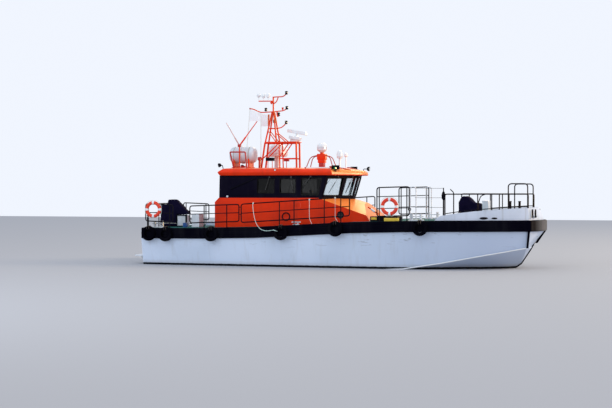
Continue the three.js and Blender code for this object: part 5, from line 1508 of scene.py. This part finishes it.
def makeSeat():
    x, y = helmSize["seat"]
    cushion = block((x - 0.238, y - 0.23, 2.472), (x + 0.22, y + 0.23, 2.578), 0.04, 3)
    low = [(x - 0.268, -0.22), (x - 0.178, -0.22), (x - 0.178, 0.22), (x - 0.268, 0.22)]
    high = [(x - 0.352, -0.155), (x - 0.296, -0.155), (x - 0.296, 0.155), (x - 0.352, 0.155)]
    back = lofted([[(px, y + py, z) for px, py in ring] for ring, z in ((low, 2.61), (high, 3.335))])
    applyModifier(back, "BEVEL", width=0.03, segments=3)
    seams = pipe([(x - 0.25, y - 0.24, 2.525), (x + 0.232, y - 0.24, 2.525), (x + 0.232, y + 0.24, 2.525),
                  (x - 0.25, y + 0.24, 2.525)], 0.006, 8, closed=True, bend=0.05)
    column = [(0, 0), (0.19, 0), (0.19, 0.03), (0.075, 0.05), (0.06, 0.1), (0.06, 0.55), (0.12, 0.58),
              (0.12, 0.6), (0, 0.6)]
    parts = [turned(column, (x, y, 1.865), steps=32)]
    for side in (-1, 1):
        arm = y + side * 0.285
        parts.append(block((x - 0.24, arm - 0.033, 2.765), (x + 0.12, arm + 0.033, 2.818), 0.014, 3))
        parts.append(pipe([(x - 0.22, y + side * 0.2, 2.47), (x - 0.22, arm, 2.5), (x - 0.22, arm, 2.78)],
                          0.02, 10, bend=0.04))
    return puffed(cushion, 0.012, 0.012), puffed(back, 0.012, 0.012), seams, joinAll(parts)


def makeSeats():
    pieces = makeSeat()
    shift = Matrix.Translation((0, -2 * helmSize["seat"][1], 0))
    names = ("seat_cushion", "seat_back", "seat_piping", "seat_frame")
    for side, matrix in (("port", shift), ("starboard", None)):
        for obj, name in zip(pieces, names):
            piece = copyOf(obj, matrix) if matrix else obj
            finish = "blackPaint" if name == "seat_frame" else "seatCloth"
            stands = ["helm_seat_" + side] if name == "seat_cushion" else ()
            setDown(piece, name + "_" + side, finish, "vinyl", stands=stands)


def makeHelm():
    cases, faces = [], []
    for y in (-0.52, 0.0, 0.52):
        cases.append(block((0.44, y - 0.215, 2.765), (0.49, y + 0.215, 3.045), 0.01, 3))
        faces.append(block((0.4345, y - 0.19, 2.8), (0.442, y + 0.19, 3.02), 0.0))
        cases.append(block((0.46, y - 0.05, 2.7), (0.52, y + 0.05, 2.8), 0.006))
    x, y, z = helmSize["wheel"]
    rim = [(x - 0.03 * math.sin(a), y + 0.17 * math.cos(a), z + 0.165 * math.sin(a))
           for a in around(32)]
    cases.append(pipe(rim, 0.013, 10, closed=True))
    cases += [pipe([(x, y, z), rim[k]], 0.008, 8) for k in (8, 19, 29)]
    cases.append(pipe([(x - 0.01, y, z), (0.17, y, z - 0.03)], 0.03, 16))
    for lever in (-0.24, -0.18):
        cases.append(pipe([(0.2, lever, 2.7), (0.17, lever, 2.83)], 0.009, 8))
        cases.append(block((0.145, lever - 0.018, 2.82), (0.185, lever + 0.018, 2.86), 0.008, 3))
    setDown(cases, "helm_fittings", "blackPaint")
    setDown(faces, "helm_screens", "screenGlass", "black_paint")


makePorts()
makeSeats()
makeHelm()
print("helm and seats built")


# Lifebuoys: a ring with four white bands and a grab line
buoyRows = [("lifebuoy_aft", (-7.8, -2.2563, 2.44)), ("lifebuoy_fore", (2.88, -2.3003, 2.61))]
buoySize = {"ring": 0.3, "wide": 0.075, "thick": 0.055}


def buoySection(angle, grow):
    ring, wide, thick = buoySize["ring"], buoySize["wide"] + grow, buoySize["thick"] + grow
    section = [(ring + wide * math.cos(t), thick * math.sin(t)) for t in around(18)]
    return [(reach * math.cos(angle), across, reach * math.sin(angle)) for reach, across in section]


def makeBuoys():
    ring, wide, thick = (buoySize[k] for k in ("ring", "wide", "thick"))
    profile = [(ring + wide * math.cos(a), thick * math.sin(a)) for a in around(20, 21)]
    foam = turned(profile, axis=(0, -1, 0), steps=64)
    quarters = [math.radians(90 * k) for k in range(4)]
    bands = [lofted([buoySection(a + math.radians(d), 0.002) for d in (-9, -3, 3, 9)]) for a in quarters]
    line = []
    for k in range(24):
        angle = math.radians(15 * k)
        reach = ring + wide + (0.01 if k % 6 == 0 else 0.02 + 0.022 * math.sin(math.pi * (k % 6) / 6))
        line.append((reach * math.cos(angle), 0, reach * math.sin(angle)))
    grab = pipe([Vector(p) for p in smoothRoute([*line, line[0]], 3)[:-1]], 0.007, 8, closed=True)
    whole = (("foam", foam, "buoyFoam", "buoy_red"), ("bands", joinAll(bands), "whitePlastic", "buoy_red"),
             ("line", grab, "ropeWhite", "rope"))
    for node, spot in buoyRows:
        for word, obj, finish, slotName in whole:
            stands = [node] if word == "foam" else ()
            setDown(copyOf(obj, Matrix.Translation(spot)), node + "_" + word, finish, slotName, stands=stands)
    for word, obj, finish, slotName in whole:
        bpy.data.objects.remove(obj)


# Bitts: node, x, y, gap, height, post radius, finish; the posts stand along the boat
bittRows = [
    ("stern_bitts", -7.7, 1.89, 0.38, 0.3, 0.05, "steel"),
    ("side_bitts", 3.95, 1.98, 0.38, 0.29, 0.05, "whitePaint"),
]


def bittPost(x, y, foot, height, radius):
    rows = [(0, -0.03), (radius, -0.03), (radius, height - 0.05), (radius * 1.16, height - 0.04),
            (radius * 1.16, height - 0.012), (radius, height), (0, height)]
    return turned(rows, (x, y, foot), steps=32)


def makeBitts():
    for node, x, y, gap, height, radius, finish in bittRows:
        foot, half = sheerAt(x)[1], gap / 2
        parts = [block((x - half - 0.12, -y - 0.1, foot - 0.04), (x + half + 0.12, -y + 0.1, foot + 0.052),
                       0.008)]
        parts += [bittPost(px, -y, foot, height, radius) for px in (x - half, x + half)]
        bar = foot + height * 0.62
        parts.append(pipe([(x - half - 0.11, -y, bar), (x + half + 0.11, -y, bar)], radius * 0.4, 14))
        bothSides(parts, node + "_cast", finish, stands=[node])
    y, foot = -0.6, sheerAt(7.665)[1]
    parts = [block((7.615, y - 0.11, foot - 0.04), (8.17, y + 0.11, foot + 0.06), 0.01)]
    parts += [bittPost(x, y, foot, 2.84 - foot, 0.05) for x in (7.665, 8.05)]
    parts.append(pipe([(7.615, y, 2.6), (8.15, y, 2.6)], 0.025, 16))
    setDown(parts, "bow_bitts_cast", "blackPaint", stands=["bow_bitts"])


# Tyre lashings: a turn of rope round each tyre's crown and a line to an eye on the deck's edge
lashing = {"rope": 0.011, "apart": 0.05, "across": 0.108, "up": 0.086, "crown": 0.25, "top": 0.335,
           "inset": 0.06}


def makeLashings():
    ropes, eyes = [], []
    for x, z in tyreSpots:
        y = -(sheerAt(x)[0] + tyreSize["proud"])
        edge = -(sheerAt(x)[0] - lashing["inset"])
        deck = deckAt(x, edge)
        for dx in (-lashing["apart"], lashing["apart"]):
            ring = [(x + dx, y + lashing["across"] * math.cos(a),
                     z + lashing["crown"] + lashing["up"] * math.sin(a))
                    for a in around(20)]
            ropes.append(pipe(ring, lashing["rope"], 8, closed=True))
            top = z + lashing["top"]
            ropes.append(pipe([(x + dx, y + 0.02, top), (x + dx * 0.6, y + 0.14, max(top, deck + 0.03)),
                               (x, edge, deck + 0.045)], lashing["rope"], 8, bend=0.08))
        eyes.append(block((x - 0.05, edge - 0.03, deck - 0.01), (x + 0.05, edge + 0.03, deck + 0.01), 0.004))
        eyes.append(pipe([(x, edge - 0.025, deck), (x, edge - 0.025, deck + 0.05),
                          (x, edge + 0.025, deck + 0.05), (x, edge + 0.025, deck)], 0.008, 8, bend=0.02))
    bothSides(ropes, "tyre_lashings", "ropeDark")
    bothSides(eyes, "lashing_eyes", "blackPaint", "steel")


def hitch(x, y, z, radius, turns, thick):
    coils = []
    for k in range(turns):
        shift = (k - (turns - 1) / 2) * thick * 2
        reach = radius + thick
        coils.append(pipe([(x + shift, y + reach * math.cos(a), z + reach * math.sin(a))
                           for a in around(16)], thick, 8, closed=True))
    return joinAll(coils)


# Taut lines from the rail's top bar past its lower bars
tautRows = [
    [(-0.57, -2.375, 2.89), (-0.565, -2.4, 2.11), (-0.43, -2.5, 1.868)],
    [(0.56, -2.375, 2.966), (0.57, -2.405, 2.14), (0.8, -2.65, 1.88)],
]


def makeTautLines():
    for number, route in enumerate(tautRows, 1):
        line = laidRope([Vector(p) for p in rounded(route, 0.06, 6)], 0.02, 3, 0.08)
        x, z = route[0][0], route[0][2]
        parts = [line, hitch(x, -2.35, z, 0.021, 3, 0.01)]
        setDown(parts, "taut_line_%d" % number, "ropeWhite")


makeBuoys()
makeBitts()
makeLashings()
makeTautLines()
print("deck gear built")


# Canvas covers over the stern gear and the winch: outlines x and z of the cloth and of the machine under it
canvasFacts = {"edge": 0.045, "voxel": 0.022, "thick": 0.004, "inset": 0.06, "open": 0.035, "in": 0.01}
coverRows = {
    "stern_gear": {
        "outline": [(-8.04, 1.672), (-7.24, 1.668), (-7.23, 2.195), (-6.66, 2.2), (-6.64, 2.25),
                    (-7.27, 2.875), (-7.63, 2.875), (-7.7, 2.67), (-8.04, 2.65)],
        "body": [(-7.97, 1.64), (-7.31, 1.64), (-7.31, 2.29), (-6.88, 2.29), (-7.31, 2.77), (-7.59, 2.79),
                 (-7.65, 2.59), (-7.97, 2.57)],
        "sides": (-0.99, -0.63), "flat": (2.6, 2.4), "line": 1.8, "fold": 0.026,
    },
    "winch": {
        "outline": [(5.42, 2.078), (6.43, 2.08), (6.42, 2.6), (6.34, 2.74), (6.16, 2.75), (6.02, 2.84),
                    (5.92, 2.98), (5.79, 3.04), (5.64, 3.05), (5.5, 2.95), (5.42, 2.78)],
        "body": [(5.5, 2.04), (6.34, 2.04), (6.32, 2.66), (5.98, 2.69), (5.77, 2.93), (5.64, 2.94),
                 (5.52, 2.8)],
        "sides": (-0.37, 0.37), "flat": (2.5, 2.6), "line": 2.32, "fold": 0.044,
    },
}


def foldAt(spot, foot, tall, fold):
    low = 1 - min(1.0, max(0.0, (spot.z - foot) / tall))
    ridge = noise.noise(Vector((spot.x * 7.0, spot.y * 7.0, spot.z * 1.3)))
    crease = noise.noise(Vector((spot.x * 3.0 + 9.0, spot.y * 3.0, spot.z * 4.0)))
    return fold * ((0.35 + 0.65 * low) * ridge + crease) - canvasFacts["in"]


def makeCover(node):
    facts = coverRows[node]
    low, high = facts["sides"]
    inset = canvasFacts["inset"]
    machine = lofted([[(x, y, z) for x, z in facts["body"]] for y in (low + inset, high - inset)])
    setDown(machine, node + "_body", "blackPaint", smooth=0)
    cloth = lofted([[(x, y, z) for x, z in facts["outline"]] for y in (low, high)])
    applyModifier(cloth, "BEVEL", width=canvasFacts["edge"], segments=3)
    applyModifier(cloth, "REMESH", mode="VOXEL", voxel_size=canvasFacts["voxel"])
    applyModifier(cloth, "SMOOTH", factor=0.5, iterations=6)
    foot = min(z for x, z in facts["outline"])
    tall = max(z for x, z in facts["outline"]) - foot
    moves = [v.normal * foldAt(v.co, foot, tall, facts["fold"]) for v in cloth.data.vertices]
    for vertex, move in zip(cloth.data.vertices, moves):
        vertex.co += move
    for face in cloth.data.polygons:
        face.select = face.center.z < foot + canvasFacts["open"] and face.normal.z < -0.3
    pick(cloth)
    bpy.ops.object.mode_set(mode="EDIT")
    bpy.ops.mesh.delete(type="FACE")
    bpy.ops.object.mode_set(mode="OBJECT")
    applyModifier(cloth, "SOLIDIFY", thickness=canvasFacts["thick"], offset=-1)
    setDown(cloth, node + "_canvas", "canvas", smooth=60, stands=[node + "_cover"])
    xs = [x for x, z in facts["outline"] if z < facts["line"]]
    route = [(min(xs) - 0.012, low - 0.01), (max(xs) + 0.012, low - 0.01), (max(xs) + 0.012, high + 0.01),
             (min(xs) - 0.012, high + 0.01)]
    line = pipe([(x, y, facts["line"]) for x, y in route], 0.008, 8, closed=True, bend=0.06)
    setDown(line, node + "_cover_line", "ropeWhite")


# Flags: node, hoist x, fly x, low and high at the hoist, high at the fly, halyard's lean, cut
flagRows = [
    ("flag_aft", -4.053, -3.556, 6.402, 6.928, 6.74, 0.2316, (0.53, 0.54)),
    ("flag_fore", -3.533, -3.136, 6.172, 6.708, 6.698, 0.0, (0.54, 0.43)),
]


flagWave = {"wave": 0.026, "ripple": 0.007, "sag": 0.012, "top": 6.963, "stripe": -3.2, "thick": 0.002}


def flagSpot(row, u, v):
    node, hoist, fly, low, high, flyHigh, lean, cut = row
    z = low + (high + (flyHigh - high) * u - low) * v
    wave = flagWave["wave"] * u ** 0.7 * math.sin(2 * math.pi * (1.55 * u + 0.25 * v) + hoist)
    ripple = flagWave["ripple"] * u * math.sin(2 * math.pi * (3.1 * u - 0.9 * v))
    y = -lean * (flagWave["top"] - z) + wave + ripple
    return hoist + (fly - hoist) * u, y, z - flagWave["sag"] * u * math.sin(math.pi * u)


def makeFlag(row):
    clearSelection()
    bpy.ops.mesh.primitive_grid_add(x_subdivisions=36, y_subdivisions=24, size=1)
    obj = bpy.context.object
    for vertex in obj.data.vertices:
        vertex.co = flagSpot(row, vertex.co.x + 0.5, vertex.co.y + 0.5)
    applyModifier(obj, "SOLIDIFY", thickness=flagWave["thick"], offset=0)
    setDown(obj, row[0] + "_cloth", ["flagCloth", "flagOrange"], smooth=60,
            stands=[row[0]])
    if row[0] == "flag_fore":
        for face in obj.data.polygons:
            face.material_index = 1 if face.center.x > flagWave["stripe"] else 0


for coverName in coverRows:
    makeCover(coverName)
for flagRow in flagRows:
    makeFlag(flagRow)


# Propellers: columns are radius, chord, thickness and pitch of a blade's sections
bladeRows = [
    (0.045, 0.15, 0.034, 58), (0.1, 0.2, 0.029, 50), (0.15, 0.235, 0.024, 44), (0.21, 0.25, 0.019, 37),
    (0.27, 0.25, 0.015, 31), (0.32, 0.215, 0.011, 27.5), (0.348, 0.16, 0.009, 25.6), (0.358, 0.09, 0.006, 25),
]
shaftFacts = {"x": -7.3, "y": 0.95, "z": -0.95, "slope": 8.5}


def bladeSection(radius, chord, thick, pitch):
    c, s = math.cos(math.radians(pitch)), math.sin(math.radians(pitch))
    ring = []
    for angle in around(20):
        along, across = chord / 2 * math.cos(angle), thick / 2 * math.sin(angle)
        bulge = (1 - (2 * along / chord) ** 2) * thick * 0.25
        across += bulge
        ring.append((along * s + across * c, along * c - across * s, radius))
    return ring


def makePropellers():
    blade = lofted([bladeSection(*row) for row in bladeRows])
    applyModifier(blade, "SUBSURF", levels=1, render_levels=1)
    hub = [(0, -0.155), (0.022, -0.152), (0.034, -0.14), (0.06, -0.098), (0.068, -0.06), (0.07, 0.09),
           (0.066, 0.095), (0, 0.095)]
    parts = [turned(hub, axis=(1, 0, 0), steps=40)]
    parts += [copyOf(blade, Matrix.Rotation(math.pi * k / 2, 4, "X")) for k in range(4)]
    bpy.data.objects.remove(blade)
    screw = outward(joinAll(parts))
    screw.data.transform(Matrix.Rotation(math.radians(-shaftFacts["slope"]), 4, "Y"))
    for word, side in (("starboard", -1), ("port", 1)):
        spot = Matrix.Translation((shaftFacts["x"], side * shaftFacts["y"], shaftFacts["z"]))
        setDown(copyOf(screw, spot), "propeller_cast_" + word, "bronze", body="screw_" + word,
                stands=["propeller_" + word])
    bpy.data.objects.remove(screw)


# Rudders, whose stocks end short of the bores' rounded ends, and the anodes on the transom
rudderStock = {"above": -0.3, "short": 0.02}


def makeRudders():
    for word in ("starboard", "port"):
        nodeName = "rudder_" + word
        blade = softened(nodeName, 0.006, 2)
        for vertex in blade.data.vertices:
            if vertex.co.z > rudderStock["above"]:
                vertex.co.z -= rudderStock["short"]
        setDown(blade, nodeName + "_blade", "blackPaint", body="steering_" + word, stands=[nodeName])
    zincs = [block((-8.372, y - 0.14, -0.34), (-8.348, y + 0.14, -0.26), 0.008, 3)
             for y in (-1.4, -0.5, 0.5, 1.4)]
    setDown(zincs, "transom_anodes", "zinc")


makePropellers()
makeRudders()


# Fittings on and round the deck: the cleat stands on both sides, the rest to starboard
cleatFacts = {"foot": ((-1.36, -2.22, 1.79), (-1.08, -2.12, 1.85)), "horns": (-1.42, -1.02), "y": -2.17,
              "z": 1.93, "stems": (-1.3, -1.14)}
railFrameLine = [(-1.28, -2.3, 2.53), (-0.99, -2.3, 2.53), (-0.99, -2.3, 2.76), (-1.28, -2.3, 2.76)]
ringProfile = [(0.055 + 0.014 * math.cos(a), 0.014 * math.sin(a)) for a in around(12, 13)]
cabinetFrame = [[(0, 0), (0.51, 0), (0.51, 0.55), (0, 0.55)],
                [(0.04, 0.05), (0.04, 0.495), (0.43, 0.495), (0.43, 0.05)]]
pailProfile = [(0, 0), (0.1, 0), (0.105, 0.015), (0.105, 0.17), (0.112, 0.175), (0.112, 0.19), (0.1, 0.195),
               (0, 0.195)]
guardProfile = [(0, 0), (0.03, 0), (0.03, 0.84), (0.075, 0.9), (0.085, 1.02), (0.06, 1.14), (0.022, 1.2),
                (0.022, 1.34), (0, 1.34)]
deckRows = [
    ("rail_frame", "buoyFoam", "white_paint", pipe, (railFrameLine, 0.008, 10, True, 0.04)),
    ("deck_tray", "yellowPaint", "white_paint", block, ((2.62, -2.19, 1.995), (3.24, -2.03, 2.13), 0.015, 3)),
    ("chest_panel", "yellowPaint", "orange_paint", block,
     ((2.03, -2.008, 2.05), (2.26, -1.996, 2.15), 0.003)),
    ("deck_tube", "orangePaint", None, pipe, ([(1.8, -1.62, 2.58), (2.26, -1.62, 2.275)], 0.03, 16)),
    ("deck_tube_sleeve", "whitePaint", None, pipe, ([(1.93, -1.62, 2.494), (2.1, -1.62, 2.381)], 0.046, 16)),
    ("rail_ring", "blackPaint", None, turned, (ringProfile, (3.72, -2.262, 2.5), (0, -1, 0), 28)),
    ("stern_cabinet_frame", "blackPaint", None, plate,
     (cabinetFrame, 0.035, (-7.21, -1.015, 1.645), (1, 0, 0), upward, 0.006)),
    ("stern_cabinet", "whitePaint", None, block, ((-7.18, -1.02, 1.65), (-6.73, -0.68, 2.165), 0.01, 3)),
    ("deck_pail", "blueDrum", "white_plastic", turned, (pailProfile, (-6.5, -1.72, 1.652), upward, 32)),
    ("guard_post", "blackPaint", None, turned, (guardProfile, (5.12, -2.17, 2.05), upward, 24)),
]


def makeDeckGear():
    layRows(deckRows)
    y, z, (aft, fore) = cleatFacts["y"], cleatFacts["z"], cleatFacts["horns"]
    parts = [block(*cleatFacts["foot"], 0.012, 3), pipe([(aft, y, z), (fore, y, z)], 0.024, 14)]
    parts += [pipe([(x, y, 1.83), (x, y, z)], 0.02, 12) for x in cleatFacts["stems"]]
    bothSides(parts, "deck_cleat", "whitePaint")


# White hoops, guard wires and the bow rail's braces
hoopFacts = {"x": (3.66, 3.9), "y": -1.79, "foot": 2.01, "top": 3.43}
wireHeights = (3.37, 2.98, 2.58)
braceRoutes = [[(6.5, 2.43), (6.53, 2.8), (6.62, 3.06), (6.8, 3.125)],
               [(5.54, 3.05), (5.54, 3.2), (5.4, 3.33)]]


def makeHoops():
    (aft, fore), y, foot, top = (hoopFacts[k] for k in ("x", "y", "foot", "top"))
    hoop = pipe([(aft, y, foot), (aft, y, top), (fore, y, top), (fore, y, foot)], 0.02, 12, bend=0.1)
    bothSides([hoop, *(flange(x, y, deckAt(x, -y)) for x in (aft, fore))], "side_hoop", "whitePaint")
    setDown([pipe([(3.94, -2.23, z), (5.12, -2.17, z)], 0.007, 8) for z in wireHeights], "guard_wires",
            "blackPaint")
    braces = [pipe([(x, onBowRail(x)[1], z) for x, z in route], 0.02, 10, bend=0.1) for route in braceRoutes]
    setDown(braces, "bow_rail_braces", "blackPaint")


# Hooks and scuppers of the bulwark; the scuppers' columns are x, half length and half height
hookFacts = {"spots": ((8.63, -1.115), (8.735, -0.925)), "top": 2.5, "low": 2.24, "out": (0.863, -0.505, 0),
             "side": (-0.505, -0.863, 0), "radius": 0.033}
scupperRows = ((6.74, 0.17, 0.05), (7.16, 0.12, 0.036))
scupperOval = [(0, -0.012), (1.0, -0.012), (1.0, 0.01), (0.9, 0.014), (0, 0.014)]


def makeBulwarkFittings():
    hooks = []
    away, side = Vector(hookFacts["out"]) * 0.03, Vector(hookFacts["side"]) * 0.09
    for x, y in hookFacts["spots"]:
        top, low = Vector((x, y, hookFacts["top"])), Vector((x, y, hookFacts["low"]))
        foot = low + away - Vector((0, 0, 0.05))
        hooks.append(pipe([top, low, foot, foot + side + away * 0.5], hookFacts["radius"], 12, bend=0.03))
    bothSides(hooks, "bulwark_hooks", "blackPaint")
    slots = []
    for x, half, tall in scupperRows:
        y, z = -sheerAt(x)[0] + 0.002, 2.14
        slant = (sheerAt(x + 0.1)[0] - sheerAt(x)[0]) / 0.1
        slot = turned(scupperOval, steps=32)
        slot.data.transform(Matrix.Scale(tall, 4, (0, 1, 0)) @ Matrix.Scale(half, 4, (1, 0, 0)))
        turn = Matrix.Rotation(math.radians(90), 4, "X")
        slot.data.transform(Matrix.Translation((x, y, z)) @ Matrix.Rotation(-math.atan(slant), 4, "Z") @ turn)
        slots.append(slot)
    bothSides(slots, "bulwark_scuppers", "blackPaint")


# Stem bar down to the waterline, and a bright bead along the chine as a painted highlight where its top
# catches the light: x, z and x, y, z
stemLine = [(7.5, -0.19), (8.05, 0.2), (8.4, 0.74), (8.49, 0.885), (8.665, 1.28)]
chineLine = [(1.2, -2.24, -0.088), (3.4, -2.19, 0.012), (5.0, -2.05, 0.272), (6.4, -1.81, 0.537),
             (7.5, -1.55, 0.737), (8.05, -1.4, 0.844), (8.38, -1.295, 0.9)]


def makeHullTrim():
    bar = pipe([(x, 0, z) for x, z in stemLine], 0.046, 14)
    setDown(bar, "stem_bar", "bandRubber")
    # the bead is brighter than the hull paint: a painted highlight along the chine
    bothSides(pipe(chineLine, 0.026, 12), "chine_highlight_bead", "whitePlastic", "hull_white")


# Rubber ribs round the nose of the fender band
noseRibs = {"from": 8.4, "apart": 0.09, "proud": 0.113, "low": -0.43, "high": -0.02, "radius": 0.012}


def makeNoseRibs():
    line = [Vector((x, -y, z)) for x, y, z in sheerRows if x > noseRibs["from"]]
    ribs = []
    for a, b in zip(line, line[1:]):
        along = (b - a).normalized()
        away = Vector((-along.y, along.x, 0)) * -1
        count = max(1, int((b - a).length / noseRibs["apart"]))
        for k in range(count):
            spot = a.lerp(b, (k + 0.5) / count) + away.normalized() * noseRibs["proud"]
            ends = [spot + Vector((0, 0, noseRibs[end])) for end in ("low", "high")]
            ribs.append(pipe(ends, noseRibs["radius"], 8))
    bothSides(ribs, "nose_ribs", "ribRubber")


makeDeckGear()
makeHoops()
makeBulwarkFittings()
makeHullTrim()
makeNoseRibs()


# Hatch lids: node, hinge x, y, lid's under side, length, half width, body
lidRows = [("aft_hatch", -5.755, 1.15, 1.7753, 0.79, 0.315, "hatch_lid_aft"),
           ("fore_hatch", 7.535, 0.0, 2.1823, 0.69, 0.315, "hatch_lid_fore")]


knobProfile = [(0, 0), (0.028, 0), (0.028, 0.008), (0.012, 0.014), (0.012, 0.022), (0, 0.024)]
lidSize = {"top": 0.045, "grip": 0.075, "gripHalf": 0.09, "gripTall": 0.05, "knobX": 0.12, "knobY": 0.06,
           "pinHalf": 0.05, "pinUp": 0.022}


def makeLidFittings():
    for node, x, y, z, length, half, body in lidRows:
        top, gripX = z + lidSize["top"], x - length + lidSize["grip"]
        wide, tall, pinHalf = lidSize["gripHalf"], lidSize["gripTall"], lidSize["pinHalf"]
        grip = [(gripX, y - wide, top), (gripX, y - wide, top + tall), (gripX, y + wide, top + tall),
                (gripX, y + wide, top)]
        parts = [pipe(grip, 0.01, 10, bend=0.03)]
        for dx in (lidSize["knobX"], length - lidSize["knobX"]):
            for dy in (-half + lidSize["knobY"], half - lidSize["knobY"]):
                parts.append(turned(knobProfile, (x - dx, y + dy, top - 0.001), steps=20))
        for dy in (-half * 0.6, half * 0.6):
            pin = [(x - 0.004, y + dy + reach, z + lidSize["pinUp"]) for reach in (-pinHalf, pinHalf)]
            parts.append(pipe(pin, 0.014, 14))
        setDown(parts, node + "_fittings", "steel", body=body)


# Aft door: pane, frame and dogs on the leaf; hand rails beside it on the wall
doorPane = {"low": (-4.883, -0.214, 3.118), "high": (-4.866, 0.214, 3.722)}
doorRim = {"x": -4.897, "corners": ((-0.212, 3.12), (0.212, 3.12), (0.212, 3.72), (-0.212, 3.72))}
doorPlates = {"x": (-4.9, -4.894), "lock": ((0.2, 2.56), (0.32, 2.86)), "dogs": (2.25, 2.95, 3.55)}
doorRail = {"y": (-0.49, 0.49), "route": ((-4.89, 3.05), (-4.965, 3.05), (-4.965, 3.7), (-4.88, 3.7))}


def makeDoorFittings():
    pane = block(doorPane["low"], doorPane["high"], 0.0)
    setDown(pane, "door_pane", "screenGlass", "window_glass", "door")
    rim = pipe([(doorRim["x"], y, z) for y, z in doorRim["corners"]], 0.014, 10, closed=True, bend=0.05)
    setDown(rim, "door_seal", "softRubber", body="door")
    (out, wall), (low, high) = doorPlates["x"], doorPlates["lock"]
    plates = [block((out, *low), (wall, *high), 0.002)]
    plates += [block((out, -0.345, z), (wall, -0.22, z + 0.07), 0.002) for z in doorPlates["dogs"]]
    setDown(plates, "door_plates", "steel", body="door")
    grabs = [pipe([(x, y, z) for x, z in doorRail["route"]], 0.014, 10, bend=0.04) for y in doorRail["y"]]
    setDown(grabs, "door_hand_rails", "blackPaint")


makeLidFittings()
makeDoorFittings()
print("deck fittings built")


railHitch = hitch(-3.09, -2.35, 2.729, 0.021, 2, 0.011)
setDown(railHitch, "rope_rail_hitch", "ropeTeal")
tyreHitchFacts = {"spot": (-1.76 - 0.2315, -2.651, 1.49 + 0.0945), "out": (-0.926, 0, 0.378),
                  "half": (0.086, 0.108)}
hitchSpot, hitchOut = Vector(tyreHitchFacts["spot"]), Vector(tyreHitchFacts["out"])
hitchUp, hitchAcross = tyreHitchFacts["half"]
hitchLine = [hitchSpot + hitchOut * hitchUp * math.sin(a) + Vector((0, hitchAcross * math.cos(a), 0))
             for a in around(20)]
tyreHitch = pipe(hitchLine, 0.012, 8, closed=True)
setDown(tyreHitch, "rope_tyre_hitch", "ropeTeal")
setDown(hangingRope, "rope_strands", "ropeTeal", stands=["hanging_rope"])
